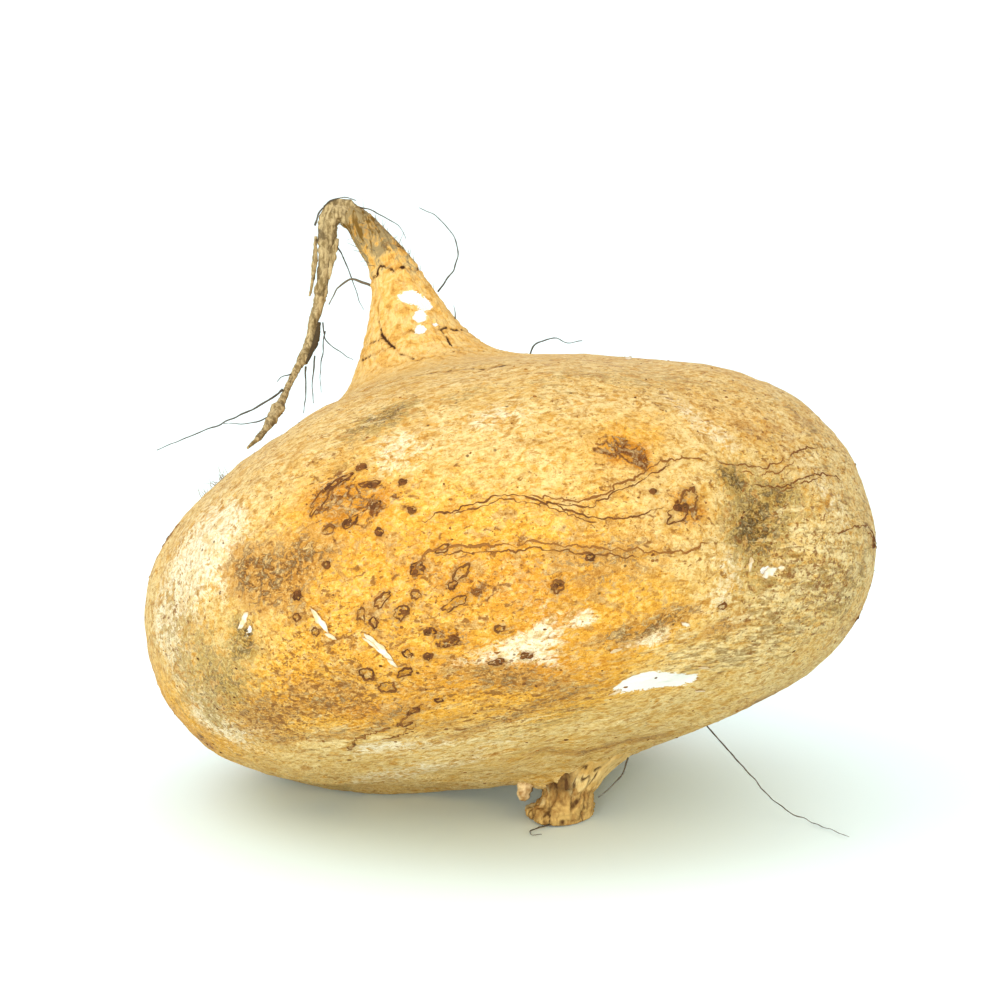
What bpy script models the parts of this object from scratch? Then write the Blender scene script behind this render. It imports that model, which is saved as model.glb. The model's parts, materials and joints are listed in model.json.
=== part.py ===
"""A jicama as it was dug: a squat swollen root that lies on its stem stub and its belly.

The root's own axis runs from the stem end up to the dried tail. Heights along it are
measured from the widest ring, and longitudes from the front (-Y), positive to the right (+X).
The script works in millimetres and turns them into metres where a mesh or curve is made.
"""

import math

import bmesh
import bpy
from mathutils import Matrix, Vector

MM = 0.001

# How the root lies. The tail end leans back and to the left, as seen from the front.
LEAN = math.radians(21.5)
LEAN_TOWARDS = math.radians(118.5)
CENTRE_HEIGHT = 38.4

# The root's outline, from the stem end to the tail: radius, height above the widest ring,
# how far the ring's centre sits to the right, and the ring's tilt in degrees.
ROOT_OUTLINE = [
    (0.0, -35.2, 6.0, 0),
    (5.3, -35.1, 6.0, 0),
    (7.0, -34.2, 5.8, 0),
    (10.6, -33.2, 5.0, 0),
    (18.6, -31.9, 3.2, 0),
    (33.0, -29.4, 1.0, 0),
    (48.2, -24.4, 0.2, 0),
    (57.8, -17.8, -0.3, 0),
    (63.3, -9.6, -0.4, 0),
    (65.2, 0.0, -0.3, 0),
    (63.4, 11.8, -0.2, 0),
    (57.8, 21.7, -0.2, 0),
    (48.7, 29.4, -0.6, 0),
    (37.0, 34.4, -1.8, 0),
    (26.5, 37.3, -3.8, 2),
    (18.6, 39.4, -6.2, 4),
    (13.6, 42.4, -7.6, 6),
    (10.2, 46.8, -8.2, 8),
    (7.9, 51.2, -8.4, 10),
    (6.0, 55.8, -8.6, 12),
    (4.5, 60.2, -9.0, 16),
    (3.5, 64.4, -10.2, 22),
    (3.0, 68.4, -12.3, 28),
    (2.5, 71.4, -13.9, 40),
    (2.0, 73.0, -15.4, 56),
    (0.0, 73.1, -15.5, 56),
]
DEPTH_SHARE = 0.94
FULLER_SIDE = math.radians(71)
FULLER_SHARE = 0.035

# Broad lobes stand out and grooves lie in: longitude, share of the radius, half width.
LOBES = [
    (math.radians(44), -0.028, math.radians(15)),
    (math.radians(-58), -0.020, math.radians(16)),
    (math.radians(-122), 0.040, math.radians(20)),
    (math.radians(-158), -0.020, math.radians(12)),
    (math.radians(166), 0.045, math.radians(20)),
    (math.radians(118), -0.030, math.radians(16)),
]
# The shoulder on the left is flatter: longitude, height, share of the radius, half widths.
FLAT_SHOULDER = (math.radians(-72), 31.0, -0.042, math.radians(36), 11.0)
ROOT_SEGMENTS = 60
ROOT_RINGS = 44

# The stub of the cut stem, from the ground up to the root: radius, then x, y and z.
STUB_OUTLINE = [
    (0.0, 10.2, -11.2, 0.0),
    (4.9, 10.2, -11.2, 0.0),
    (5.7, 10.2, -11.2, 0.9),
    (5.6, 10.6, -11.4, 2.2),
    (4.9, 11.3, -11.6, 3.4),
    (4.7, 11.9, -11.5, 4.8),
    (5.0, 12.2, -11.4, 6.25),
    (0.0, 12.2, -11.4, 6.25),
]
STUB_SEGMENTS = 24
STUB_RINGS = 14

# Routes of the dried tail, its side strands and the rootlets. Each is a list of x, y, z.
TAIL_ROUTE = [
    (-29.2, 23.0, 102.9),
    (-30.2, 23.1, 102.9),
    (-31.1, 23.0, 101.7),
    (-31.6, 22.8, 99.4),
    (-32.1, 22.6, 95.8),
    (-33.1, 21.2, 88.4),
    (-34.2, 19.5, 84.6),
    (-34.8, 17.6, 81.6),
    (-35.5, 15.6, 79.2),
    (-36.5, 13.4, 77.6),
    (-37.4, 11.0, 75.9),
    (-38.2, 7.8, 74.1),
    (-38.9, 4.5, 72.5),
    (-39.5, 1.6, 71.4),
    (-40.2, -1.4, 70.2),
    (-41.0, -4.2, 68.9),
    (-42.1, -7.2, 67.7),
    (-43.9, -11.0, 66.4),
]
TAIL_RADII = [
    1.9, 1.75, 1.55, 1.4, 1.2, 1.1, 0.85, 0.8, 0.9,
    0.85, 0.6, 0.55, 0.6, 0.85, 1.0, 0.45, 0.45, 0.25,
]

BUD_ROUTE = [(4.3, -11.8, 5.9), (4.1, -12.3, 4.9), (3.8, -12.8, 3.6)]
BUD_RADII = [1.0, 1.25, 0.6]

SIDE_STRANDS = {
    "tail_inner_strand": (0.5, [
        (-29.6, 20.4, 99.6), (-30.3, 20.2, 97.4), (-30.9, 20.0, 94.6), (-31.3, 19.9, 92.2),
    ]),
    "tail_outer_strand": (0.45, [
        (-33.8, 22.4, 99.8), (-34.0, 22.2, 95.4), (-34.5, 21.6, 91.5), (-35.0, 21.0, 89.0),
    ]),
    "tail_dark_strand": (0.42, [
        (-33.0, 17.8, 84.6), (-33.5, 16.0, 81.7), (-34.3, 14.2, 79.6), (-35.1, 12.6, 78.0),
    ]),
}

ROOTLETS = {
    "rootlet_bridge": (0.4, [
        (-24.6, 20.2, 91.4), (-25.9, 20.6, 91.8), (-27.2, 20.8, 92.0),
        (-28.8, 20.9, 91.5), (-30.1, 20.9, 90.2), (-30.9, 20.7, 88.6),
    ]),
    "rootlet_inner": (0.22, [
        (-29.9, 23.4, 97.6), (-28.6, 23.4, 95.2), (-27.4, 23.4, 92.0),
        (-26.4, 23.2, 89.0), (-25.2, 22.2, 86.4),
    ]),
    "rootlet_loop": (0.22, [
        (-32.4, 18.6, 84.0), (-32.2, 18.0, 82.4), (-31.6, 17.6, 81.0),
        (-29.7, 17.4, 79.5), (-28.1, 17.0, 78.6), (-26.9, 16.6, 78.0),
    ]),
    "rootlet_left_long": (0.28, [
        (-39.3, 6.0, 73.8), (-40.4, 5.7, 72.9), (-45.3, 4.6, 70.2),
        (-52.4, 4.0, 67.2), (-57.2, 3.6, 65.3), (-61.3, 3.0, 63.6),
    ]),
    "rootlet_left_fine": (0.2, [
        (-41.5, -0.6, 70.0), (-42.6, -0.8, 69.5), (-45.4, -1.0, 69.0), (-49.2, -1.0, 69.1),
    ]),
    "rootlet_left_short": (0.2, [
        (-38.2, 9.6, 76.2), (-39.3, 9.4, 76.0), (-40.2, 9.0, 75.0),
    ]),
    "rootlet_hanging_a": (0.28, [
        (-35.2, 11.9, 76.9), (-35.2, 11.6, 74.6), (-35.2, 10.6, 71.6), (-35.5, 8.6, 69.4),
    ]),
    "rootlet_hanging_b": (0.26, [
        (-33.7, 13.6, 78.6), (-33.9, 13.8, 76.3), (-34.2, 13.4, 73.6), (-33.9, 12.4, 70.6),
    ]),
    "rootlet_hanging_c": (0.2, [
        (-32.2, 20.2, 82.2), (-32.6, 20.0, 79.6), (-33.0, 18.8, 75.4), (-32.8, 17.4, 71.8),
    ]),
    "rootlet_neck_top": (0.2, [
        (-25.2, 21.6, 105.0), (-23.0, 21.4, 104.4), (-20.3, 21.6, 102.8),
        (-18.2, 22.0, 101.4), (-17.4, 22.0, 99.4),
    ]),
    "rootlet_curl": (0.24, [
        (-11.2, 17.0, 90.7), (-10.6, 16.9, 91.6), (-9.7, 17.0, 92.8), (-8.5, 17.0, 94.4),
        (-7.8, 17.4, 97.2), (-8.5, 17.8, 100.0), (-10.0, 18.0, 102.1),
        (-12.0, 18.0, 104.0), (-14.8, 18.0, 105.4),
    ]),
    "rootlet_over_bend": (0.28, [
        (-33.8, 22.6, 102.2), (-33.1, 22.6, 104.2), (-31.8, 22.6, 105.8), (-30.0, 22.6, 106.7),
        (-28.2, 22.6, 106.8), (-26.4, 22.6, 106.3),
    ]),
    "rootlet_behind_top": (0.24, [
        (5.2, 12.4, 79.6), (5.6, 12.4, 80.8), (7.0, 12.6, 81.9), (9.4, 13.0, 82.3),
        (11.4, 13.4, 81.7), (12.8, 13.8, 81.6), (14.6, 14.0, 81.8),
    ]),
    "rootlet_under_right": (0.24, [
        (22.2, -14.2, 11.4), (21.6, -15.4, 9.8), (19.9, -15.2, 7.4),
        (18.7, -14.6, 6.0), (17.2, -14.2, 4.6),
    ]),
    "rootlet_under_stub": (0.22, [
        (8.2, -17.4, 0.5), (6.4, -18.6, 0.3), (5.2, -20.4, 0.3), (5.6, -22.6, 0.3), (7.2, -22.2, 0.3),
    ]),
    "rootlet_right_long": (0.2, [
        (37.4, 0.2, 13.4), (39.6, -1.6, 11.2), (43.7, -5.0, 7.2), (47.4, -8.4, 3.6),
        (51.2, -11.8, 1.2), (55.6, -16.0, 0.3), (60.4, -23.6, 0.3),
    ]),
}
STRAND_STEPS_PER_SPAN = 3

SKIN_TAN = (0.78, 0.52, 0.22, 1)
STUB_BROWN = (0.55, 0.36, 0.16, 1)
BUD_PALE = (0.80, 0.70, 0.52, 1)
TAIL_KHAKI = (0.40, 0.30, 0.16, 1)
HAIR_GREY = (0.16, 0.13, 0.10, 1)


def smooth_through(points, share):
    """The point at this share, 0 to 1, of a Catmull-Rom curve through the points."""
    spans = len(points) - 1
    at = min(max(share, 0.0), 1.0) * spans
    i = min(int(at), spans - 1)
    t = at - i
    p1, p2 = Vector(points[i]), Vector(points[i + 1])
    p0 = Vector(points[i - 1]) if i else 2 * p1 - p2
    p3 = Vector(points[i + 2]) if i + 2 <= spans else 2 * p2 - p1
    return 0.5 * (
        2 * p1
        + (p2 - p0) * t
        + (2 * p0 - 5 * p1 + 4 * p2 - p3) * t**2
        + (3 * (p1 - p2) + p3 - p0) * t**3
    )


def resting_frame():
    """The turn and lift that take the root's own frame to the way it lies."""
    across = Vector((-math.sin(LEAN_TOWARDS), math.cos(LEAN_TOWARDS), 0))
    lift = Matrix.Translation((0, 0, CENTRE_HEIGHT))
    return lift @ Matrix.Rotation(LEAN, 4, across)


def swell(longitude):
    """How much the lobes and grooves scale the body at this longitude."""
    total = 1.0
    for middle, share, width in LOBES:
        away = math.remainder(longitude - middle, math.tau)
        total += share * math.exp(-((away / width) ** 2))
    return total


def shoulder(longitude, height):
    """How much the flatter shoulder draws the skin in, as a share of the radius."""
    middle, level, share, width, tall = FLAT_SHOULDER
    away = math.remainder(longitude - middle, math.tau) / width
    above = (height - level) / tall
    return share * math.exp(-(away**2) - above**2)


def root_point(share, longitude):
    """A point of the root's skin in its own frame."""
    radius, height, shift, tilt = smooth_through(ROOT_OUTLINE, share)
    radius = max(radius, 0.0)
    body_share = min(1.0, radius / 40)
    lobed = 1 + (swell(longitude) - 1 + shoulder(longitude, height)) * body_share
    radius *= lobed * (1 + FULLER_SHARE * body_share * math.cos(longitude - FULLER_SIDE))
    height *= lobed
    across = radius * math.sin(longitude)
    x = shift + across * math.cos(math.radians(tilt))
    y = -radius * (1 - (1 - DEPTH_SHARE) * body_share) * math.cos(longitude)
    z = height + across * math.sin(math.radians(tilt))
    return Vector((x, y, z))


def resting_root_point(share, longitude):
    """A point of the root as it lies, with the belly pressed flat where it meets the ground."""
    point = resting_frame() @ root_point(share, longitude)
    point.z = max(point.z, 0.0)
    return point


def stub_point(share, longitude):
    """A point of the stem stub. Its rings turn from the level ground to the root's slope."""
    radius, x, y, z = smooth_through(STUB_OUTLINE, share)
    radius = max(radius, 0.0) * (1 + 0.07 * math.cos(3 * longitude + 0.6))
    level = Matrix.Identity(4).to_quaternion()
    turn = level.slerp(resting_frame().to_quaternion(), min(1.0, max(0.0, 1.6 * share - 0.4)))
    ring = Vector((radius * math.sin(longitude), -radius * math.cos(longitude), 0))
    point = Vector((x, y, z)) + turn @ ring
    point.z = max(point.z, 0.0)
    return point


def material(name, colour, roughness):
    made = bpy.data.materials.new(name)
    made.use_nodes = True
    shader = made.node_tree.nodes["Principled BSDF"]
    shader.inputs["Base Color"].default_value = colour
    shader.inputs["Roughness"].default_value = roughness
    shader.inputs["Metallic"].default_value = 0.0
    return made


def add_object(name, data, finish):
    data.materials.append(finish)
    obj = bpy.data.objects.new(name, data)
    bpy.data.collections["jicama"].objects.link(obj)
    obj.parent = bpy.data.objects["resting_place"]
    return obj


def add_skin(name, point_at, segments, rings, finish):
    """A closed skin: a ball whose rings are moved to where point_at says."""
    bm = bmesh.new()
    bmesh.ops.create_uvsphere(bm, u_segments=segments, v_segments=rings, radius=1)
    for vertex in bm.verts:
        share = math.acos(max(-1, min(1, -vertex.co.z))) / math.pi
        longitude = math.atan2(vertex.co.x, -vertex.co.y)
        vertex.co = point_at(share, longitude) * MM
    mesh = bpy.data.meshes.new(name)
    bm.to_mesh(mesh)
    bm.free()
    mesh.shade_smooth()
    return add_object(name, mesh, finish)


def add_strand(name, route, radii, finish, sides_level=2):
    """A tube along a smooth curve through the route, with a radius for each route point."""
    curve = bpy.data.curves.new(name, "CURVE")
    curve.dimensions = "3D"
    curve.bevel_depth = MM
    curve.bevel_resolution = sides_level
    curve.use_fill_caps = True
    count = (len(route) - 1) * STRAND_STEPS_PER_SPAN + 1
    spline = curve.splines.new("POLY")
    spline.points.add(count - 1)
    thick = [(radius,) * 3 for radius in radii]
    for i in range(count):
        share = i / (count - 1)
        spline.points[i].co = (*(smooth_through(route, share) * MM), 1)
        spline.points[i].radius = smooth_through(thick, share).x
    return add_object(name, curve, finish)


def middle_of_box(objects):
    """The middle, in x and y, of the box round all the objects."""
    depsgraph = bpy.context.evaluated_depsgraph_get()
    points = []
    for obj in objects:
        seen = obj.evaluated_get(depsgraph)
        points += [seen.matrix_world @ vertex.co for vertex in seen.to_mesh().vertices]
        seen.to_mesh_clear()
    across = [point.x for point in points]
    along = [point.y for point in points]
    return (min(across) + max(across)) / 2, (min(along) + max(along)) / 2


def main():
    for old in list(bpy.data.objects):
        bpy.data.objects.remove(old)
    pieces = bpy.data.collections.new("jicama")
    bpy.context.scene.collection.children.link(pieces)
    place = bpy.data.objects.new("resting_place", None)
    bpy.context.scene.collection.objects.link(place)

    skin = material("jicama_skin", SKIN_TAN, 0.7)
    add_skin("tuber", resting_root_point, ROOT_SEGMENTS, ROOT_RINGS, skin)
    stub_bark = material("stem_bark", STUB_BROWN, 0.85)
    add_skin("stem_stub", stub_point, STUB_SEGMENTS, STUB_RINGS, stub_bark)
    bud_white = material("pale_bud", BUD_PALE, 0.6)
    add_strand("shoot_bud", BUD_ROUTE, BUD_RADII, bud_white)
    dry_root = material("dry_root", TAIL_KHAKI, 0.8)
    add_strand("tail_root", TAIL_ROUTE, TAIL_RADII, dry_root)
    for name, (radius, route) in SIDE_STRANDS.items():
        add_strand(name, route, [radius] * len(route), dry_root)
    hair = material("rootlet_hair", HAIR_GREY, 0.7)
    for name, (radius, route) in ROOTLETS.items():
        add_strand(name, route, [radius] * len(route), hair, sides_level=1)

    bpy.context.view_layer.update()
    x, y = middle_of_box(pieces.objects)
    place.location = (-x, -y, 0)


main()
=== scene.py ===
# %% [markdown]
# # A jicama root
#
# A jicama is the swollen root of a climbing bean. This one lies on its belly and on the stub
# of its stem, and its thin neck ends in a dried tail that hangs back down over the shoulder.
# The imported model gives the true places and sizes. Everything below is built around it, in
# the same frame, and then each new piece takes the place of the plain solid it stands for.

import json
import math

import bpy
import numpy as np
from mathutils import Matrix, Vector, noise
from mathutils.kdtree import KDTree

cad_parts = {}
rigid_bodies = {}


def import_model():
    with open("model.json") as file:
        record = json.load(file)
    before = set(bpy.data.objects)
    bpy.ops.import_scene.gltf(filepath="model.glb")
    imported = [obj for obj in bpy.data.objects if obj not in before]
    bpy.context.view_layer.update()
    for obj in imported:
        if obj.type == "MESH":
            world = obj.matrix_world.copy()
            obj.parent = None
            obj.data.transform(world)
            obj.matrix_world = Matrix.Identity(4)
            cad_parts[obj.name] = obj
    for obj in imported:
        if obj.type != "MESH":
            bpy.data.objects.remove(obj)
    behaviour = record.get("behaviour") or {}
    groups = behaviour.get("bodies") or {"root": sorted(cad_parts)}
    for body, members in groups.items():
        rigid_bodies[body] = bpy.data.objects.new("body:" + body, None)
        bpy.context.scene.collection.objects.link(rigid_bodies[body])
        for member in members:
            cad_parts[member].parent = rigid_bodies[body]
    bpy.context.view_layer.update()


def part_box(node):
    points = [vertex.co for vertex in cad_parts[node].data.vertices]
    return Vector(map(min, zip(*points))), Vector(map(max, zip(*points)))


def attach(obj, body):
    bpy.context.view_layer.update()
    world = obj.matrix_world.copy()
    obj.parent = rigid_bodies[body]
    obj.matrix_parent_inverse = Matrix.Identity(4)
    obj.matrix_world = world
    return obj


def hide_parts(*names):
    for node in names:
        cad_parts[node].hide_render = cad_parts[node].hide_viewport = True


for left_over in list(bpy.data.objects):
    bpy.data.objects.remove(left_over)
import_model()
MM = 0.001

# %% [markdown]
# ## The camera
#
# A wide lens close by would swell the belly and shrink the tail. A long lens from about half a
# metre keeps the proportions honest. The camera looks down by eleven degrees, so the top of
# the belly and the stub under it both show.

# %% Camera
CAMERA_PLACE = (0.0005, -0.5389, 0.15645)
CAMERA_TURN = (math.radians(79.34), 0, math.radians(0.24))
LENS_MM = 111

lens = bpy.data.cameras.new("camera")
lens.lens = LENS_MM
lens.clip_start = 0.01
lens.clip_end = 50
camera = bpy.data.objects.new("camera", lens)
bpy.context.scene.collection.objects.link(camera)
camera.location = CAMERA_PLACE
camera.rotation_euler = CAMERA_TURN
bpy.context.scene.camera = camera
print("camera at", [round(part, 3) for part in camera.location])

# %% [markdown]
# ## Short calls for building materials
#
# A material made from nodes is a chain of small ones: noise, steps that turn the noise into
# blots, and mixes that lay one colour over another. Each takes several lines when written out.
# The class below wraps every kind in one call, so that the skin's recipe can be read from top
# to bottom. A colour is given as it should look. The light on the root is stronger than one,
# so seen() first divides the colour by that.


# %% Colours and nodes
def srgb(red, green, blue):
    """A colour as it looks on a screen, turned into the linear light that shaders work in."""
    linear = [c / 12.92 if c <= 0.04045 else ((c + 0.055) / 1.055) ** 2.4 for c in (red, green, blue)]
    return (*linear, 1.0)


TENT_LIGHT = 1.38


def seen(red, green, blue):
    """The colour a surface needs so that it looks like this under the tent's bright light."""
    return (*(part / TENT_LIGHT for part in srgb(red, green, blue)[:3]), 1.0)


class Finish:
    """A material with short calls for the nodes this root needs."""

    def __init__(self, name, roughness, specular=0.3):
        self.material = bpy.data.materials.new(name)
        self.material.use_nodes = True
        self.tree = self.material.node_tree
        self.shader = self.tree.nodes["Principled BSDF"]
        self.shader.inputs["Roughness"].default_value = roughness
        self.shader.inputs["Specular IOR Level"].default_value = specular

    def put(self, socket, value):
        """Links a node's output to the socket, or sets a plain value on it."""
        if isinstance(value, bpy.types.NodeSocket):
            self.tree.links.new(value, socket)
        else:
            socket.default_value = value

    def field(self, name, vector=False):
        """A number, or a place, that was stored on every vertex of the mesh."""
        made = self.tree.nodes.new("ShaderNodeAttribute")
        made.attribute_name = name
        return made.outputs["Vector" if vector else "Fac"]

    def stretch(self, vector, scales):
        """Places scaled along each axis, so that noise on them is drawn out or squeezed."""
        made = self.tree.nodes.new("ShaderNodeVectorMath")
        made.operation = "MULTIPLY"
        self.put(made.inputs[0], vector)
        made.inputs[1].default_value = scales
        return made.outputs["Vector"]

    def warp(self, vector, scale, amount):
        """Pulls places about, so that a pattern drawn on them wanders."""
        noise_node = self.tree.nodes.new("ShaderNodeTexNoise")
        self.put(noise_node.inputs["Vector"], vector)
        noise_node.inputs["Scale"].default_value = scale
        noise_node.inputs["Detail"].default_value = 3.0
        made = self.tree.nodes.new("ShaderNodeVectorMath")
        made.operation = "MULTIPLY_ADD"
        self.put(made.inputs[0], noise_node.outputs["Color"])
        made.inputs[1].default_value = (amount, amount, amount)
        self.put(made.inputs[2], vector)
        return made.outputs["Vector"]

    def clouds(self, vector, scale, detail=3.0, roughness=0.55, wander=0.0):
        """Cloudy noise between 0 and 1."""
        made = self.tree.nodes.new("ShaderNodeTexNoise")
        self.put(made.inputs["Vector"], vector)
        made.inputs["Scale"].default_value = scale
        made.inputs["Detail"].default_value = detail
        made.inputs["Roughness"].default_value = roughness
        made.inputs["Distortion"].default_value = wander
        return made.outputs["Fac"]

    def cells(self, vector, scale, feature="F1", output="Distance"):
        """How far each place is from the nearest of many scattered points."""
        made = self.tree.nodes.new("ShaderNodeTexVoronoi")
        made.feature = feature
        self.put(made.inputs["Vector"], vector)
        made.inputs["Scale"].default_value = scale
        return made.outputs[output]

    def sums(self, kind, first, second, third=0.0):
        """Arithmetic on sockets or plain numbers."""
        made = self.tree.nodes.new("ShaderNodeMath")
        made.operation = kind
        for socket, value in zip(made.inputs, (first, second, third)):
            self.put(socket, value)
        return made.outputs["Value"]

    def step(self, value, low, high, least=0.0, most=1.0):
        """Rises smoothly from least to most as the value goes from low to high."""
        made = self.tree.nodes.new("ShaderNodeMapRange")
        made.interpolation_type = "SMOOTHSTEP"
        for socket, given in zip(made.inputs, (value, low, high, least, most)):
            self.put(socket, given)
        return made.outputs["Result"]

    def blot(self, mask, grain, low, high, bite=1.0):
        """A mask whose edge is eaten into by the grain, so that it breaks up like a stain."""
        eaten = self.sums("MULTIPLY_ADD", self.sums("SUBTRACT", grain, 0.5), bite, mask)
        return self.step(eaten, low, high)

    def mix(self, share, under, over, blend="MIX"):
        """One colour over another, by the share."""
        made = self.tree.nodes.new("ShaderNodeMix")
        made.data_type = "RGBA"
        made.blend_type = blend
        colour_under, colour_over = (s for s in made.inputs if s.type == "RGBA")
        self.put(made.inputs["Factor"], share)
        self.put(colour_under, under)
        self.put(colour_over, over)
        return next(s for s in made.outputs if s.type == "RGBA")

    def layer(self, under, colour, mask, share=1.0, blend="MIX"):
        """Lays a colour over what is there, as far as the mask and the share allow."""
        if share != 1.0:
            mask = self.sums("MULTIPLY", mask, share)
        return self.mix(mask, under, colour, blend)

    def bump(self, height, strength, distance, under=None):
        """Small relief that changes only the shading, added to the relief under it."""
        made = self.tree.nodes.new("ShaderNodeBump")
        made.inputs["Strength"].default_value = strength
        made.inputs["Distance"].default_value = distance
        self.put(made.inputs["Height"], height)
        if under is not None:
            self.put(made.inputs["Normal"], under)
        return made.outputs["Normal"]

    def done(self, colour, normal=None, roughness=None):
        """Joins the finished chains to the shader."""
        self.put(self.shader.inputs["Base Color"], colour)
        if normal is not None:
            self.put(self.shader.inputs["Normal"], normal)
        if roughness is not None:
            self.put(self.shader.inputs["Roughness"], roughness)
        return self.material

    def place(self):
        """The place in the object's own frame, in metres."""
        return self.tree.nodes.new("ShaderNodeTexCoord").outputs["Object"]


print("light on the root:", TENT_LIGHT)

# %% [markdown]
# ## The sheet and the light
#
# The root lies on a plain pale sheet that goes on past the edge of the picture. A white world
# is the soft light of a light tent, and it alone would be flat. A large lamp above and to the
# left makes the shoulder a little brighter, and a low one in front fills in the underside.
# Large lamps give soft edges to the shadow.

# %% Floor, world and lamps
FLOOR_HALF = 4.0
FLOOR_DROP = 0.0001
SHEET_TONES = (srgb(0.895, 0.962, 0.958), srgb(0.905, 0.972, 0.968))
TENT_STRENGTH = 1.3
# Name, place, the point it faces, size in metres and power in watts.
LAMPS = [
    ("top_left_softbox", (-0.55, -0.35, 0.95), (0, 0, 0.04), 0.6, 2.4),
    ("low_front_fill", (-0.16, -0.95, 0.14), (0, 0, 0.02), 0.27, 7.0),
]

floor_mesh = bpy.data.meshes.new("floor")
floor_mesh.from_pydata(
    [(x * FLOOR_HALF, y * FLOOR_HALF, -FLOOR_DROP) for x, y in ((-1, -1), (1, -1), (1, 1), (-1, 1))],
    [],
    [(0, 1, 2, 3)],
)
floor = bpy.data.objects.new("floor", floor_mesh)
bpy.context.scene.collection.objects.link(floor)
paper = Finish("white_sheet", 0.6, 0.1)
paper_tone = paper.mix(paper.clouds(paper.place(), 3.0), *SHEET_TONES)
floor_mesh.materials.append(paper.done(paper_tone))

world = bpy.data.worlds.new("light_tent")
world.use_nodes = True
bpy.context.scene.world = world
backdrop = world.node_tree.nodes["Background"]
backdrop.inputs["Color"].default_value = (1.0, 1.0, 1.0, 1.0)
backdrop.inputs["Strength"].default_value = TENT_STRENGTH

for name, place, faces, size, watts in LAMPS:
    lamp = bpy.data.lights.new(name, "AREA")
    lamp.size = size
    lamp.energy = watts
    holder = bpy.data.objects.new(name, lamp)
    holder.location = place
    holder.rotation_euler = (Vector(faces) - Vector(place)).to_track_quat("-Z", "Y").to_euler()
    bpy.context.scene.collection.objects.link(holder)
bpy.context.scene.view_settings.view_transform = "Standard"
print("floor and", len(bpy.data.lights), "lamps")

# %% [markdown]
# ## The shape of the root
#
# The root is close to a turned shape, so it is built as one: a ring of points goes round the
# axis, and its radius, height and tilt follow an outline from the stem end to the tail. Broad
# lobes and hollows then scale each ring, since nothing that grows in soil is quite round. The
# same numbers shaped the solid, so the fine skin fits over it.
# Working on whole arrays of points keeps a mesh of this size quick to make.

# %% Outline and lobes
LEAN = math.radians(21.5)
LEAN_TOWARDS = math.radians(118.5)
CENTRE_HEIGHT = 38.4
# Radius, height above the widest ring, shift to the right, and tilt in degrees.
ROOT_OUTLINE = np.array([
    (0.0, -35.2, 6.0, 0),
    (5.3, -35.1, 6.0, 0),
    (7.0, -34.2, 5.8, 0),
    (10.6, -33.2, 5.0, 0),
    (18.6, -31.9, 3.2, 0),
    (33.0, -29.4, 1.0, 0),
    (48.2, -24.4, 0.2, 0),
    (57.8, -17.8, -0.3, 0),
    (63.3, -9.6, -0.4, 0),
    (65.2, 0.0, -0.3, 0),
    (63.4, 11.8, -0.2, 0),
    (57.8, 21.7, -0.2, 0),
    (48.7, 29.4, -0.6, 0),
    (37.0, 34.4, -1.8, 0),
    (26.5, 37.3, -3.8, 2),
    (18.6, 39.4, -6.2, 4),
    (13.6, 42.4, -7.6, 6),
    (10.2, 46.8, -8.2, 8),
    (7.9, 51.2, -8.4, 10),
    (6.0, 55.8, -8.6, 12),
    (4.5, 60.2, -9.0, 16),
    (3.5, 64.4, -10.2, 22),
    (3.0, 68.4, -12.3, 28),
    (2.5, 71.4, -13.9, 40),
    (2.0, 73.0, -15.4, 56),
    (0.0, 73.1, -15.5, 56),
])
DEPTH_SHARE = 0.94
FULLER_SIDE = math.radians(71)
FULLER_SHARE = 0.035
# Longitude, share of the radius, half width in degrees.
LOBES = [
    (44, -0.028, 15),
    (-58, -0.020, 16),
    (-122, 0.040, 20),
    (-158, -0.020, 12),
    (166, 0.045, 20),
    (118, -0.030, 16),
]
# Longitude, height, share of the radius, half width in degrees, and half height.
FLAT_SHOULDER = (-72, 31.0, -0.042, 36, 11.0)


def smooth_through(rows, share):
    """Catmull-Rom curve through the rows, read at every share from 0 to 1."""
    rows = np.asarray(rows, float)
    spans = len(rows) - 1
    at = np.clip(share, 0, 1) * spans
    i = np.minimum(at.astype(int), spans - 1)
    t = (at - i)[..., None]
    p1 = rows[i]
    p2 = rows[i + 1]
    p0 = np.where((i > 0)[..., None], rows[np.maximum(i - 1, 0)], 2 * p1 - p2)
    p3 = np.where((i + 2 <= spans)[..., None], rows[np.minimum(i + 2, spans)], 2 * p2 - p1)
    return 0.5 * (
        2 * p1 + (p2 - p0) * t + (2 * p0 - 5 * p1 + 4 * p2 - p3) * t**2 + (3 * (p1 - p2) + p3 - p0) * t**3
    )


def bell(offset, width):
    """1 in the middle and falling away to 0 past the width."""
    return np.exp(-((offset / width) ** 2))


def turn_between(longitude, middle_degrees):
    """The signed angle from the middle to each longitude, in degrees."""
    return (np.degrees(longitude) - middle_degrees + 180) % 360 - 180


def root_point(share, longitude):
    """Points of the root's skin in its own frame, in millimetres."""
    radius, height, shift, tilt = np.moveaxis(smooth_through(ROOT_OUTLINE, share), -1, 0)
    radius = np.maximum(radius, 0.0)
    body = np.minimum(1.0, radius / 40)
    lobed = np.ones_like(radius)
    for middle, swell, width in LOBES:
        lobed = lobed + body * swell * bell(turn_between(longitude, middle), width)
    middle, level, drawn_in, width, tall = FLAT_SHOULDER
    flat = bell(turn_between(longitude, middle), width) * bell(height - level, tall)
    lobed = lobed + body * drawn_in * flat
    radius = radius * lobed * (1 + FULLER_SHARE * body * np.cos(longitude - FULLER_SIDE))
    across = radius * np.sin(longitude)
    x = shift + across * np.cos(np.radians(tilt))
    y = -radius * (1 - (1 - DEPTH_SHARE) * body) * np.cos(longitude)
    z = height * lobed + across * np.sin(np.radians(tilt))
    return np.stack([x, y, z], -1)


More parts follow.
